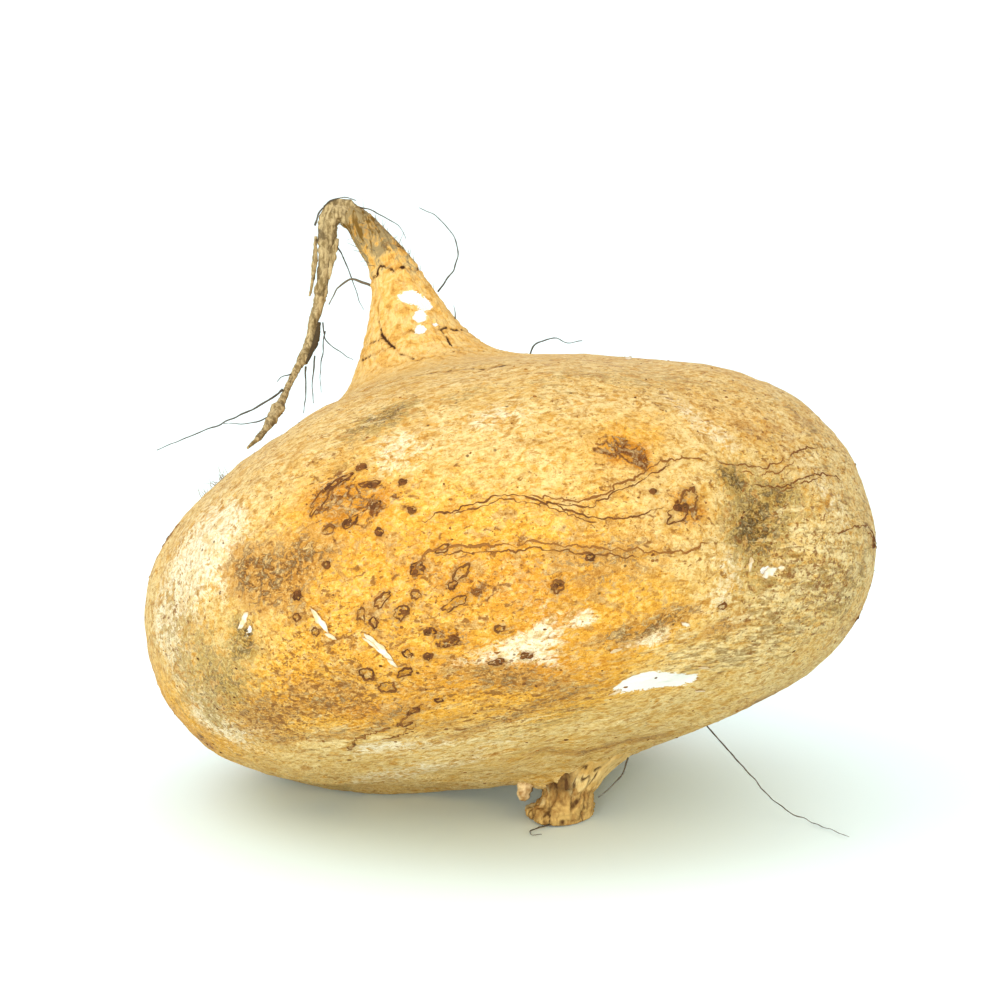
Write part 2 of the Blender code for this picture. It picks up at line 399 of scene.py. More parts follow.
def lean_matrix():
    """The turn that lays the root over, as a 3 by 3 array."""
    kx, ky = -math.sin(LEAN_TOWARDS), math.cos(LEAN_TOWARDS)
    cross = np.array([[0, 0, ky], [0, 0, -kx], [-ky, kx, 0]])
    return np.eye(3) + math.sin(LEAN) * cross + (1 - math.cos(LEAN)) * cross @ cross


LEAN_TURN = lean_matrix()


def lie_down(points):
    """From the root's own frame to the way it lies, still centred on its own axis."""
    return points @ LEAN_TURN.T + np.array([0, 0, CENTRE_HEIGHT])


sample_grid = np.meshgrid(np.linspace(0, 1, 400), np.linspace(-math.pi, math.pi, 721)[:-1], indexing="ij")
sample = lie_down(root_point(*sample_grid))
tuber_low, tuber_high = (np.array(corner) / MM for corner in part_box("tuber"))
MIDDLE = (tuber_low + tuber_high) / 2 - (sample.min((0, 1)) + sample.max((0, 1))) / 2
MIDDLE[2] = 0.0
print("the solid sits", MIDDLE.round(2), "mm from the axis")

# %% [markdown]
# ## The fine skin
#
# The solid has flat facets a few millimetres wide, too coarse for a close look. Here the same
# shape is laid out as a grid of rings, a ring every millimetre on the body and every third of
# a millimetre on the neck, where the cracks are small. Each vertex keeps its ring and its
# longitude, so a mark can be placed by longitude and height wherever it is on the real root.

# %% Grid of the skin
SEGMENTS = 560
BODY_STEP = 0.95
NECK_STEP = 0.34
NECK_FROM, NECK_TO = 36.0, 42.0


def ring_shares():
    """Shares of the outline for the rings, closer together on the neck."""
    fine = np.linspace(0, 1, 6001)
    rows = smooth_through(ROOT_OUTLINE, fine)
    length = np.hypot(np.diff(rows[:, 0]), np.hypot(np.diff(rows[:, 1]), np.diff(rows[:, 2])))
    step = np.interp(rows[1:, 1], [NECK_FROM, NECK_TO], [BODY_STEP, NECK_STEP])
    count = np.concatenate([[0], np.cumsum(length / step)])
    rings = int(count[-1] / (1))
    inner = np.linspace(0, count[-1], rings + 2)[1:-1]
    along = np.concatenate([[0], np.cumsum(length)])
    return np.interp(inner, count, fine), np.interp(inner, count, along)


RING_SHARE, RING_ALONG = ring_shares()
RINGS = len(RING_SHARE)
RING_LONGITUDE = np.linspace(-math.pi, math.pi, SEGMENTS + 1)[:-1]
share_grid, longitude_grid = np.meshgrid(RING_SHARE, RING_LONGITUDE, indexing="ij")
own = root_point(share_grid, longitude_grid)
base = lie_down(own) + MIDDLE
height_grid = own[..., 2]
along_grid = np.repeat(RING_ALONG[:, None], SEGMENTS, 1)


def grid_normals(points):
    """Outward normals of a grid whose rings close on themselves."""
    up = np.gradient(points, axis=0)
    east = (np.roll(points, -1, 1) - np.roll(points, 1, 1)) / 2
    normal = np.cross(east, up)
    return normal / (np.linalg.norm(normal, axis=-1, keepdims=True) + 1e-12)


outward = grid_normals(base)
print("skin grid:", RINGS, "rings of", SEGMENTS)

# %% [markdown]
# ## Finding a place on the skin
#
# Marks, hairs and flakes all need a point on the skin and its directions. skin_at() reads them
# from the grid, between its vertices. Two more fields pull places about by a few millimetres,
# because a stain with an even edge would look drawn with a compass.


# %% Find a place on the skin, and measure from it
def skin_at(grid, longitude, height):
    """The grid's point, normal, east and up directions at a longitude in degrees and a height."""
    column = ((np.radians(longitude) + math.pi) / math.tau * SEGMENTS) % SEGMENTS
    left = int(column) % SEGMENTS
    rise = np.maximum.accumulate(height_grid[:, left])
    row = float(np.interp(height, rise, np.arange(RINGS)))
    low = min(max(int(row), 1), RINGS - 3)

    def read(row_at, column_at):
        r = min(max(int(row_at), 0), RINGS - 2)
        c = int(column_at) % SEGMENTS
        fr, fc = row_at - r, column_at - int(column_at)
        near = grid[r, c] * (1 - fc) + grid[r, (c + 1) % SEGMENTS] * fc
        far = grid[r + 1, c] * (1 - fc) + grid[r + 1, (c + 1) % SEGMENTS] * fc
        return near * (1 - fr) + far * fr

    point = read(row, column)
    east = read(row, column + 1) - read(row, column - 1)
    up = read(min(row + 1, RINGS - 2), column) - read(max(row - 1, 0), column)
    east = east / np.linalg.norm(east)
    normal = np.cross(east, up)
    normal = normal / np.linalg.norm(normal)
    return point, normal, east, np.cross(normal, east)


def cloud_field(points, size, octaves, salt=0.0):
    """Fractal noise at every point, about -1 to 1, with features of this size in millimetres."""
    flat = points.reshape(-1, 3) / size + salt
    values = [noise.fractal(Vector(place), 1.0, 2.0, octaves) for place in flat]
    return np.array(values).reshape(points.shape[:-1])


wander = np.stack([cloud_field(base, 5.0, 3, salt) for salt in (3.1, 17.7, 41.3)], -1)
ragged = base + 1.6 * wander
wide_wander = np.stack([cloud_field(base, 16.0, 2, salt) for salt in (7.3, 27.1, 53.9)], -1)
cloudy = base + 5.0 * wide_wander + 1.6 * wander


def patch(longitude, height, wide, tall, turn=0.0, points=None):
    """1 in the middle of an oval on the skin, falling away past its half sizes in millimetres."""
    middle, normal, east, up = skin_at(base, longitude, height)
    away = (cloudy if points is None else points) - middle
    cos, sin = math.cos(math.radians(turn)), math.sin(math.radians(turn))
    along = away @ (cos * east + sin * up)
    across = away @ (cos * up - sin * east)
    return bell(along, wide) * bell(across, tall) * (away @ normal > -max(wide, tall, 4.0))


def patches(rows, points=None):
    """Several ovals, each with its strength, joined into one mask."""
    total = np.zeros_like(height_grid)
    for longitude, height, wide, tall, turn, strength in rows:
        total = total + strength * patch(longitude, height, wide, tall, turn, points)
    return total


def path_on_skin(stops, step=0.35, wobble=0.0, salt=0.0):
    """Longitude and height every step millimetres along a path through the stops."""
    stops = np.array(stops, float)
    share = np.linspace(0, 1, 60 * (len(stops) - 1))
    fine = smooth_through(stops, share)
    points = np.array([skin_at(base, lon, high)[0] for lon, high in fine])
    length = np.concatenate([[0], np.cumsum(np.linalg.norm(np.diff(points, axis=0), axis=1))])
    count = max(4, int(length[-1] / step))
    at = np.linspace(0, length[-1], count)
    path = np.stack([np.interp(at, length, fine[:, k]) for k in (0, 1)], -1)
    if wobble:
        for k, unit in ((0, 57.3 / 62.0), (1, 1.0)):
            shake = [noise.fractal(Vector((s / 2.4, salt, 9.0 * k)), 0.6, 2.0, 3) for s in at]
            path[:, k] += wobble * unit * np.array(shake)
    return path


print("noise fields ready, from", round(float(wander.min()), 2), "to", round(float(wander.max()), 2))

# %% [markdown]
# ## Where the marks are
#
# A root in the ground is marked by what touched it. This one has an orange middle, a rust
# cluster, brown and green-grey dirt, chalky worn places and spots scraped to the white flesh.
# Each kind of mark is a mask: soft ovals placed by longitude and height, whose edges are pulled
# about by noise. The masks are stored on the vertices, and the material breaks them up finer.

# %% Masks for colour
# Each row is longitude, height, half width, half height, turn in degrees, and strength.
WARM = [
    (-3, -6, 22, 13, -10, 1.0),
    (-20, 10, 15, 9, -20, 0.8),
    (14, -12, 17, 12, 0, 0.6),
    (-28, -10, 14, 12, 0, 0.5),
    (22, 13, 7, 5, 0, 0.5),
    (-8, -21, 24, 7, 0, 0.8),
    (-30, -20, 20, 7, 0, 0.5),
    (10, -20, 20, 6, 0, 0.5),
    (-40, -16, 16, 8, 20, 0.6),
    (14, -26, 24, 5, 0, 0.6),
    (44, 18, 22, 8, 0, 0.3),
    (150, 6, 26, 14, 0, 0.8),
    (-110, -8, 20, 12, 0, 0.6),
]
CHALK_AND_PAINTED_LIGHT = [
    (-47, 13.5, 8, 7, 0, 1.0),
    (-58, 8, 8, 12, 0, 0.8),
    (-66, -2, 8, 14, 0, 0.8),
    (-60, -13, 8, 2.2, 12, 0.9),
    (4, -16.4, 6.0, 3.6, 10, 1.0),
    (-2, -19.0, 4.0, 2.4, 0, 0.5),
    (4, 21, 7, 4, 0, 0.6),
    (-13, 19, 6, 5, 40, 0.7),
    (-30, -27, 9, 4, 0, 0.9),
    # A wide pale band along the lower rim, partly chalky wear and partly painted light that lightens the
    # underside.
    (-47, -30, 26, 3.6, 0, 0.7),
    (-64, -18, 9, 5, 0, 0.7),
    (-54, 4, 6, 6, 0, 0.5),
    (38, 16, 3, 9, 25, 0.6),
    (36, -11, 7, 3.5, 15, 0.6),
    (62, 3, 5, 9, 0, 0.5),
    (-170, 12, 12, 8, 0, 0.8),
    (108, -4, 11, 7, 0, 0.6),
]
# Small scraped spots with firmer edges.
SCRAPED = [
    (4, -16.2, 4.4, 2.8, 10, 0.8),
    (12.5, -12.8, 2.4, 1.5, 0, 1.2),
    (24, -16.8, 2.9, 2.0, 8, 1.8),
    (20.5, -17.6, 3.0, 1.0, 10, 1.0),
    (-178, 4, 5, 3, 0, 1.2),
]
MURK = [
    (-50, -9, 9, 8, -20, 0.85),
    (-58, -14, 9, 6, 0, 0.45),
    (-42, -3.0, 2.6, 3.4, 0, 1.5),
    (44, -0.5, 8, 8.5, 0, 1.15),
    (40, -3.5, 4.2, 5.0, 0, 0.75),
    (50, 3, 5, 5, 0, 0.4),
    (37, 6, 2.0, 2.6, 0, 1.2),
    (-17, 24, 8, 3.4, 35, 0.9),
    (-8, 27, 10, 2.4, 15, 0.6),
    (58, -14, 22, 9, 10, 0.50),
    (70, -4, 10, 16, 0, 0.35),
    (30, 27, 26, 5, 0, 0.35),
    (-66, -4, 8, 12, 0, 0.5),
    (0, -27, 18, 4, 0, 0.35),
    (-140, 2, 16, 12, 0, 0.7),
    (128, -16, 18, 8, 0, 0.6),
    (180, -6, 10, 14, 0, 0.5),
    (90, 20, 18, 6, 0, 0.4),
]
UMBER = [
    (-38, 5.5, 5.5, 5.0, 0, 1.2),
    (-27, 5.5, 8, 4.0, 8, 1.1),
    (-31, -0.5, 7, 4.5, 0, 0.8),
    (19, -16.5, 7, 1.6, 6, 1.0),
    (27, -14.5, 6, 1.8, 10, 1.0),
    (37, -17.5, 8, 1.8, 14, 0.9),
    (0, -20, 9, 3.0, -24, 1.0),
    (-14, -24, 10, 2.0, 12, 0.6),
    (10, -24, 9, 3, 0, 0.5),
    (-48, -17.5, 9, 4.6, 10, 0.9),
    (-44, -22.5, 12, 1.8, -6, 0.8),
    (-31, -17.5, 8, 3.4, 0, 0.9),
    (-22, -22, 9, 2.2, 20, 0.8),
    (-6, -26, 13, 2.4, 14, 0.9),
    (30, -31.5, 16, 2.2, 0, 1.0),
    (17, -5, 12, 6, 0, 0.75),
    (-16, -9, 10, 5, 0, 0.5),
    (-12, 4, 9, 3, 0, 0.45),
    (50, 14, 8, 4, -20, 0.5),
    (-95, 14, 12, 6, 0, 0.8),
    (160, -14, 14, 6, 0, 0.8),
    (105, 10, 10, 4, 0, 0.6),
]
RUST = [
    (-21.5, 13, 6.0, 5.2, -20, 1.2),
    (-14, 11.5, 5, 3.4, 0, 0.8),
    (22, 13, 4.6, 2.7, -18, 1.4),
    (25, 10.8, 1.9, 2.1, 0, 1.5),
    (30, 2.0, 3.6, 2.8, 0, 1.0),
    (-2, -6, 3.6, 2.2, 20, 0.9),
    (-7, -12.6, 3.6, 1.6, -20, 1.2),
    (-11, -1.5, 2.1, 2.0, 0, 1.0),
    (-17, -15.5, 4, 2, 0, 0.6),
    (140, 12, 8, 4, 10, 1.2),
    (-125, -6, 6, 4, 0, 1.0),
]
BARE = [
    (25.5, -24.0, 4.6, 2.3, 3, 1.7),
    (33, -24.3, 4.8, 1.9, -6, 1.7),
    (20.5, -23.9, 2.0, 1.2, 0, 1.1),
    (45, -9.4, 1.6, 0.9, -10, 1.2),
    (-40, -4.4, 1.3, 0.5, 30, 1.5),
    (-172, -10, 4.0, 1.5, 10, 1.4),
    (96, 12, 2.4, 1.6, 0, 1.2),
]
NECK_BARE = [
    (16, 54.4, 2.2, 1.5, -20, 1.5),
    (34, 52.6, 1.7, 1.4, -30, 1.2),
    (20, 50.4, 1.5, 1.1, 0, 1.4),
    (14, 47.8, 1.3, 1.1, 0, 1.5),
    (35, 48.6, 0.7, 0.6, 0, 1.2),
]

FLECK = [
    (-8, -8, 22, 12, 0, 0.55),
    (-32, -12, 14, 10, 0, 0.6),
    (0, -22, 24, 6, 0, 0.6),
    (-48, -19, 15, 6, 0, 0.8),
    (-4, -26, 22, 5, 0, 0.5),
    (50, 12, 16, 18, 0, 0.4),
    (55, -12, 20, 12, 0, 0.6),
    (20, 2, 18, 8, 0, 0.35),
    (-26, 20, 14, 8, 0, 0.4),
    (-60, 0, 10, 18, 0, 0.4),
    (25, 24, 24, 6, 0, 0.35),
    (120, 0, 40, 20, 0, 0.5),
    (-140, 0, 40, 20, 0, 0.5),
]

# Where dark and pale streaks run round the root.
STREAKY = [
    (58, -12, 28, 14, 10, 1.0),
    (40, -20, 20, 6, 6, 0.8),
    (0, -27, 36, 5, 0, 0.9),
    (-20, 25, 20, 6, 30, 1.0),
    (28, 28, 34, 6, 0, 0.8),
    (64, 14, 14, 14, 0, 0.7),
    (-46, -24, 18, 6, 0, 0.9),
    (120, 8, 44, 18, 0, 0.8),
    (-130, 4, 38, 16, 0, 0.8),
    (180, -14, 34, 10, 0, 0.9),
]

# The far side is marked in the same way, by a seeded generator.
FAR_SIDE = (82.0, 278.0)
FAR_HEIGHTS = (-28.0, 36.0)
far = np.random.default_rng(21)
for rows, wide, strength, count in (
    (WARM, 17, 0.9, 7),
    (CHALK_AND_PAINTED_LIGHT, 7, 0.8, 6),
    (SCRAPED, 3, 1.0, 4),
    (MURK, 9, 0.9, 6),
    (UMBER, 7, 1.0, 7),
    (RUST, 4.5, 1.2, 6),
    (FLECK, 18, 0.6, 6),
    (STREAKY, 20, 0.8, 4),
):
    for _ in range(count):
        rows.append((
            far.uniform(*FAR_SIDE),
            far.uniform(*FAR_HEIGHTS),
            wide * far.uniform(0.5, 1.3),
            wide * far.uniform(0.3, 0.7),
            far.uniform(-30, 30),
            strength * far.uniform(0.8, 1.5),
        ))

masks = {
    "streaky": patches(STREAKY),
    "fleck": patches(FLECK) + 0.12,
    "warm": patches(WARM),
    "chalk_and_painted_light": patches(CHALK_AND_PAINTED_LIGHT) + patches(SCRAPED, ragged),
    "murk": patches(MURK),
    "umber": patches(UMBER, ragged),
    "rust": patches(RUST, ragged),
    "bare": patches(BARE, base + 0.8 * wander) + patches(NECK_BARE, base + 0.5 * wander),
}
neck = np.clip((height_grid - 35.0) / 9.0, 0, 1)
masks["neck"] = neck * neck * (3 - 2 * neck)
masks["neck_top"] = np.clip((height_grid - 57.0) / 12.0, 0, 1)
print({name: round(float(mask.max()), 2) for name, mask in masks.items()})

# %% [markdown]
# ## Cracks and folds
#
# Dry skin splits where it was stretched. The neck has short splits across it and one long flap
# where the outer skin slid over the inner. A crack is a path on the skin. Every vertex learns
# how far it is from the nearest path, and is drawn in by a narrow bell of that distance, with
# a lip on both sides. A tree of points finds the nearest path point quickly.

# %% Paths of the cracks
# Each crack is a depth, a half width in millimetres, and its stops as longitude and height.
CRACKS = [
    (0.34, 0.34, [(-80, 59.9), (-50, 60.3), (-20, 61.6), (5, 60.6), (30, 60.8)]),
    (0.16, 0.28, [(-14, 58.3), (10, 58.0), (30, 57.9), (48, 58.2)]),
    (0.34, 0.34, [(10, 65.2), (36, 65.8), (60, 65.4), (85, 64.5)]),
    (0.20, 0.28, [(32, 60.6), (42, 58.6), (60, 57.2), (75, 56.5)]),
    (0.34, 0.36, [
        (-46, 54.0), (-40, 51.6), (-35, 49.7), (-25, 47.2), (-15, 45.2), (-5, 42.8), (2, 41.2),
    ]),
    (0.20, 0.30, [(2, 41.2), (6, 38.6), (3, 36.6), (2, 34.6)]),
    (0.28, 0.34, [(-66, 45.4), (-50, 45.2), (-38, 45.2), (-24, 45.4), (-14, 46.2)]),
    (0.26, 0.32, [(2, 41.5), (14, 41.6), (30, 42.2), (46, 42.0), (62, 41.2)]),
    (0.32, 0.32, [(40, 49.0), (36, 47.2), (36, 45.4), (33, 43.4), (36, 42.2)]),
    (0.16, 0.25, [(84, 55.0), (66, 53.4), (48, 51.6), (40, 49.2)]),
    (0.30, 0.50, [(-38, 34.4), (-25, 35.0), (-15, 35.1), (-4, 34.6), (8, 33.4), (20, 33.0)]),
    (0.16, 0.45, [(-30, 36.6), (-16, 37.6), (-2, 37.2), (12, 36.6)]),
    (0.30, 0.40, [(-16, -21.2), (-20, -22.4), (-24, -23.4), (-30, -23.8), (-36, -24.3), (-42, -25.6)]),
    (0.26, 0.36, [(150, 62.0), (180, 60.6), (-150, 60.2), (-120, 60.8)]),
    (0.28, 0.38, [(110, 48.0), (140, 46.4), (170, 46.8), (-160, 48.4)]),
    (0.24, 0.38, [(-170, 41.6), (-140, 41.0), (-110, 41.8)]),
    (0.35, 0.50, [(95, 2.0), (103, 4.4), (112, 4.0), (120, 6.6)]),
]


def path_points(path):
    """The places of a path of longitudes and heights, before the skin is raised and sunk."""
    return np.array([skin_at(base, lon, high)[0] for lon, high in path])


def distance_to(points):
    """How far each vertex of the skin is from the nearest of the points."""
    tree = KDTree(len(points))
    for i, point in enumerate(points):
        tree.insert(point, i)
    tree.balance()
    flat = base.reshape(-1, 3)
    return np.array([tree.find(point)[2] for point in flat]).reshape(height_grid.shape)


crack_depth = np.zeros_like(height_grid)
crack_mask = np.zeros_like(height_grid)
for number, (depth, half_width, stops) in enumerate(CRACKS):
    trail = path_points(path_on_skin(stops, 0.3, 0.5, 3.0 * number))
    away = distance_to(trail)
    ends = np.minimum(1.0, 0.35 + 0.65 * np.abs(cloud_field(base, 2.6, 2, 5.0 * number)) * 2.4)
    lip = 0.35 * bell(away - 2.1 * half_width, half_width)
    crack_depth = crack_depth + depth * ends * (bell(away, half_width) - lip)
    crack_mask = np.maximum(crack_mask, ends * min(1.0, 3.2 * depth) * bell(away, half_width * 1.25))
masks["crack"] = crack_mask
print(len(CRACKS), "cracks, deepest", round(float(crack_depth.max()), 2), "mm")

# %% [markdown]
# ## Where the cork seams run
#
# Where the young skin split and healed, a thin corky seam stands up. Seams wander round the
# root, often in pairs, and small ones close into rings. Their paths are worked out first,
# because the skin is also stained and a little raised beside them. Rings on the unseen sides
# come from a seeded random generator, so they are the same on every run.

# %% Paths of the seams and rings
# Each seam is a radius in millimetres, and its stops as longitude and height.
SEAMS = [
    (0.20, [
        (-9, 6.6), (-4, 7.2), (0, 7.7), (4, 8.2), (7, 7.0), (10, 5.4),
        (13, 3.4), (16, 1.9), (20, 1.4), (24, 1.9), (26, 2.6),
    ]),
    (0.20, [
        (7, 7.4), (10, 6.4), (14, 5.2), (17, 5.6), (20, 7.0),
        (23, 7.9), (26, 9.4), (29, 10.3), (33, 10.2), (36, 9.4),
    ]),
    (0.17, [(37, 9.2), (42, 8.6), (46, 8.0), (50, 8.4), (54, 10.0), (58, 11.2), (62, 11.6)]),
    (0.17, [(44, 5.2), (49, 4.4), (54, 5.6), (60, 6.6), (66, 6.0)]),
    (0.24, [
        (-11, -0.2), (-7, 1.4), (-3, 1.1), (2, 0.2), (7, -0.4), (11, -1.6),
        (14, -2.4), (18, -3.4), (21, -4.0), (25, -4.8), (29, -5.0), (33, -3.8),
    ]),
    (0.20, [(-16, -21.2), (-20, -22.4), (-24, -23.4), (-30, -23.8), (-36, -24.3), (-42, -25.6)]),
    (0.18, [(60, -4), (72, -2), (84, -4), (96, -1), (104, -3)]),
    (0.20, [(120, 10), (134, 13), (146, 9), (160, 11), (172, 8)]),
    (0.18, [(-150, 4), (-136, 1), (-124, 4), (-110, 2), (-98, 5)]),
    (0.18, [(130, -8), (142, -11), (156, -9), (168, -13)]),
    (0.16, [(-92, 18), (-84, 20), (-76, 18), (-70, 20)]),
    (0.18, [(164, 24), (176, 26), (190, 25), (204, 27), (220, 25)]),
    (0.20, [(110, 22), (124, 20), (138, 23), (150, 21)]),
    (0.18, [(-140, 12), (-126, 15), (-112, 13)]),
]
# Longitude, height, half width, half height, turn in degrees, and how full the middle is.
RINGS_SEEN = [
    (-22, -15.2, 1.5, 1.3, 20, 0.2),
    (-20, -17.8, 1.6, 1.2, 0, 0.5),
    (-16, -16.2, 1.6, 0.7, 15, 0.3),
    (-16, -4.6, 1.8, 0.8, 30, 0.3),
    (-19.5, -6.2, 0.8, 1.2, -10, 0.2),
    (-18, -7.8, 0.8, 0.8, 0, 0.0),
    (-13.5, -7.2, 1.5, 1.0, 20, 0.6),
    (-11, -5.0, 1.0, 0.8, 0, 0.2),
    (-30, -4.2, 0.7, 0.7, 0, 0.2),
    (-27.5, -7.2, 0.8, 0.7, 0, 0.5),
    (-29, -0.8, 0.8, 1.0, 0, 0.7),
    (-23.5, 2.8, 0.6, 0.7, 0, 0.3),
    (-4, -3.0, 1.7, 0.9, 35, 0.1),
    (-5.5, -4.6, 1.0, 0.6, 30, 0.2),
    (-5.5, -7.4, 2.4, 0.9, 22, 0.5),
    (-2.2, -6.4, 0.8, 0.6, 0, 0.1),
    (-10, -11.0, 1.1, 0.8, 0, 1.0),
    (-8, -13.2, 1.9, 0.9, 5, 1.0),
    (-14.5, -13.6, 0.9, 0.8, 0, 0.3),
    (-11.5, -14.6, 0.9, 0.6, 25, 0.8),
    (0, -12.4, 0.9, 0.7, 0, 0.0),
    (-10, -0.9, 1.5, 1.3, 0, 0.9),
    (-6, 1.4, 1.3, 0.6, 15, 0.2),
    (-9.5, 8.6, 0.8, 0.6, 0, 0.8),
    (-14.8, 6.2, 0.8, 0.6, 0, 0.7),
    (-10.5, 13.6, 0.7, 0.6, 0, 0.8),
    (-22.5, 8.3, 1.3, 0.8, 10, 0.3),
    (-19, 8.8, 1.4, 0.9, 25, 0.7),
    (-24, 13.5, 1.2, 2.6, -35, 0.1),
    (-20.5, 16.2, 3.4, 0.6, 22, 0.6),
    (-15.5, 14.4, 1.7, 0.7, 0, 0.8),
    (-17, 17.6, 1.0, 0.6, 0, 0.8),
    (-15, 10.8, 1.2, 0.9, 20, 0.7),
    (28, 1.0, 2.4, 1.3, 25, 0.2),
    (30.5, 3.2, 2.2, 1.5, 40, 0.3),
    (28.5, 2.0, 1.1, 0.6, 0, 0.9),
    (25, 5.2, 0.7, 0.4, 0, 0.8),
    (-13, -21.2, 0.8, 0.6, 0, 0.1),
    (-18.5, -21.9, 1.1, 0.7, 20, 0.2),
    (-21.5, -23.4, 1.3, 0.5, 10, 0.2),
    (3, -17.0, 1.0, 0.7, 0, 0.8),
    (-1.5, -17.4, 1.4, 0.7, 0, 0.8),
    (9, -7.6, 1.2, 1.0, 0, 0.9),
    (14, -4.0, 0.7, 0.6, 0, 0.4),
    (36, -14.0, 1.0, 0.6, 0, 0.2),
]
# Where rings crowd together on the far side: longitude, height, half width, half height.
RING_CROWDS = [
    (-118, -2, 24, 10),
    (150, 4, 26, 12),
    (100, -8, 18, 8),
    (-175, -14, 16, 6),
    (-104, 8, 10, 8),
    (-150, 20, 16, 7),
    (128, 26, 18, 5),
]
RINGS_IN_A_CROWD = 9
rng = np.random.default_rng(7)
more_rings = []
for longitude, height, wide, tall in RING_CROWDS:
    for _ in range(RINGS_IN_A_CROWD):
        more_rings.append((
            longitude + wide * rng.normal() * 0.6,
            height + tall * rng.normal() * 0.5,
            rng.uniform(0.5, 1.7),
            rng.uniform(0.4, 1.0),
            rng.uniform(-30, 30),
            rng.choice([0.0, 0.3, 0.8]),
        ))


def millimetres(longitude, height):
    """Degrees of longitude and units of height for a millimetre along the skin, there."""
    west, east = (skin_at(base, longitude + turn, height)[0] for turn in (-1, 1))
    below, above = (skin_at(base, longitude, height + rise)[0] for rise in (-0.5, 0.5))
    return 1 / max(np.linalg.norm(east - west) / 2, 0.05), 1 / max(np.linalg.norm(above - below), 0.3)


print(len(SEAMS), "seams,", len(RINGS_SEEN) + len(more_rings), "rings")

# %% Lay the seams and rings along the skin
SEAM_PATHS = []
for number, (radius, stops) in enumerate(SEAMS):
    stops = np.array(stops, float)
    for twin in (0, 1):
        gap = (0.0, -0.75 - 0.25 * (number % 3))[twin]
        part_of = stops if twin == 0 else stops[1 : max(4, int(len(stops) * 0.8))]
        path = path_on_skin(part_of + np.array([0.0, gap]), 0.28, 0.62, 11.0 * number + 4.0 * twin)
        SEAM_PATHS.append((path, radius * (0.85, 0.65)[twin], False))
for number, (longitude, height, wide, tall, turn, full) in enumerate(RINGS_SEEN + more_rings):
    per_east, per_up = millimetres(longitude, height)
    angles = np.linspace(0, math.tau, max(16, int(9 * (wide + tall))))
    spread = np.array([
        1 + 0.55 * noise.fractal(Vector((math.cos(a) * 1.5 + number, math.sin(a) * 1.5, 5.0)), 0.7, 2.0, 3)
        for a in angles
    ])
    e, u = 0.85 * wide * np.cos(angles) * spread, 0.85 * tall * np.sin(angles) * spread
    cos, sin = math.cos(math.radians(turn)), math.sin(math.radians(turn))
    path = np.stack([longitude + (e * cos - u * sin) * per_east, height + (e * sin + u * cos) * per_up], -1)
    SEAM_PATHS.append((path, 0.15 + 0.09 * rng.random(), True))
for mask_name, wanted in (("seam", False), ("rim", True)):
    spots = np.concatenate([path_points(path) for path, _, loop in SEAM_PATHS if loop is wanted])
    masks[mask_name] = np.clip(1 - distance_to(spots) / 2.0, 0, 1)
scabs = [
    (longitude, height, 0.85 * wide, 0.85 * tall, turn, full)
    for longitude, height, wide, tall, turn, full in RINGS_SEEN + more_rings
    if full > 0.4
]
masks["scab"] = patches(scabs, base + 0.5 * wander)
print(len(SEAM_PATHS), "seams and rings")

# %% [markdown]
# ## Raise and sink the skin
#
# Colour alone would look painted on. The skin is moved along its normals: soft dents as big as
# a thumb, fine wrinkles that run round the root, a sunken place on the right where a stone
# pressed, the cracks, and a shallow step where skin is missing. Where it would go under the
# ground it is held at the ground, as the real belly is pressed flat.

# %% Relief
body_part = 1 - masks["neck"]
round_the_root = np.stack([own[..., 0] * 0.12, own[..., 1] * 0.12, along_grid * 0.75], -1)
down_the_neck = np.stack([own[..., 0] * 1.6, own[..., 1] * 1.6, along_grid * 0.16], -1)
relief = body_part * (0.55 * cloud_field(base, 17.0, 2, 2.2) + 0.20 * cloud_field(base, 6.0, 3, 9.4))
relief += body_part * 0.10 * cloud_field(round_the_root, 1.0, 3, 5.5)
relief += 0.05 * cloud_field(base, 1.6, 2, 6.6)
neck_relief = 0.20 * cloud_field(down_the_neck, 1.0, 3, 1.1) + 0.07 * cloud_field(base, 2.4, 3, 8.8)
relief += masks["neck"] * neck_relief
relief -= crack_depth
relief += 0.10 * np.clip(np.maximum(masks["seam"], masks["rim"]) * 2 - 1, 0, 1)
relief -= 0.35 * np.clip(masks["bare"] - 0.55, 0, 0.35) / 0.35
relief -= 0.25 * np.clip(masks["rust"] - 0.8, 0, 0.4) / 0.4 * body_part

print("relief so far:", round(float(np.ptp(relief)), 2), "mm from lowest to highest")

# %% The sunken place, and the folds round the stem
# The pit's folds bend round its far side.
PIT = (44.5, -2.0)
pit_centre, pit_normal, pit_east, pit_up = skin_at(base, *PIT)
from_pit = base + 0.9 * wander - pit_centre
pit_range = np.hypot(from_pit @ pit_east, (from_pit @ pit_up) * 0.95)
pit_side = np.clip((from_pit @ pit_east) / 9.0 + 0.55, 0, 1) * (from_pit @ pit_normal > -12)
relief -= 1.5 * bell(pit_range, 8.5) * (from_pit @ pit_normal > -12)
for fold_range, fold_height in ((9.6, 0.34), (12.2, 0.26), (15.0, 0.18)):
    relief += fold_height * pit_side * bell(pit_range - fold_range, 0.8)
relief += 0.35 * patch(37.5, 9.5, 1.3, 7.5, 22, ragged)

# Below the widest ring the skin gathers into folds that run in to the stem.
gather = np.clip((-26.0 - height_grid) / 8.0, 0, 1)
towards_stem = np.stack([np.cos(longitude_grid) * 3, np.sin(longitude_grid) * 3, along_grid * 0.03], -1)
relief += gather * 0.5 * cloud_field(towards_stem, 1.0, 3, 4.4)
relief *= np.clip(own[..., 2] + 36.5, 0, 1)

skin = base + outward * relief[..., None]
FLAT_AT = 0.02
skin[..., 2] = np.maximum(skin[..., 2], FLAT_AT)
skin_normal = grid_normals(skin)
print("relief from", round(float(relief.min()), 2), "to", round(float(relief.max()), 2), "mm")

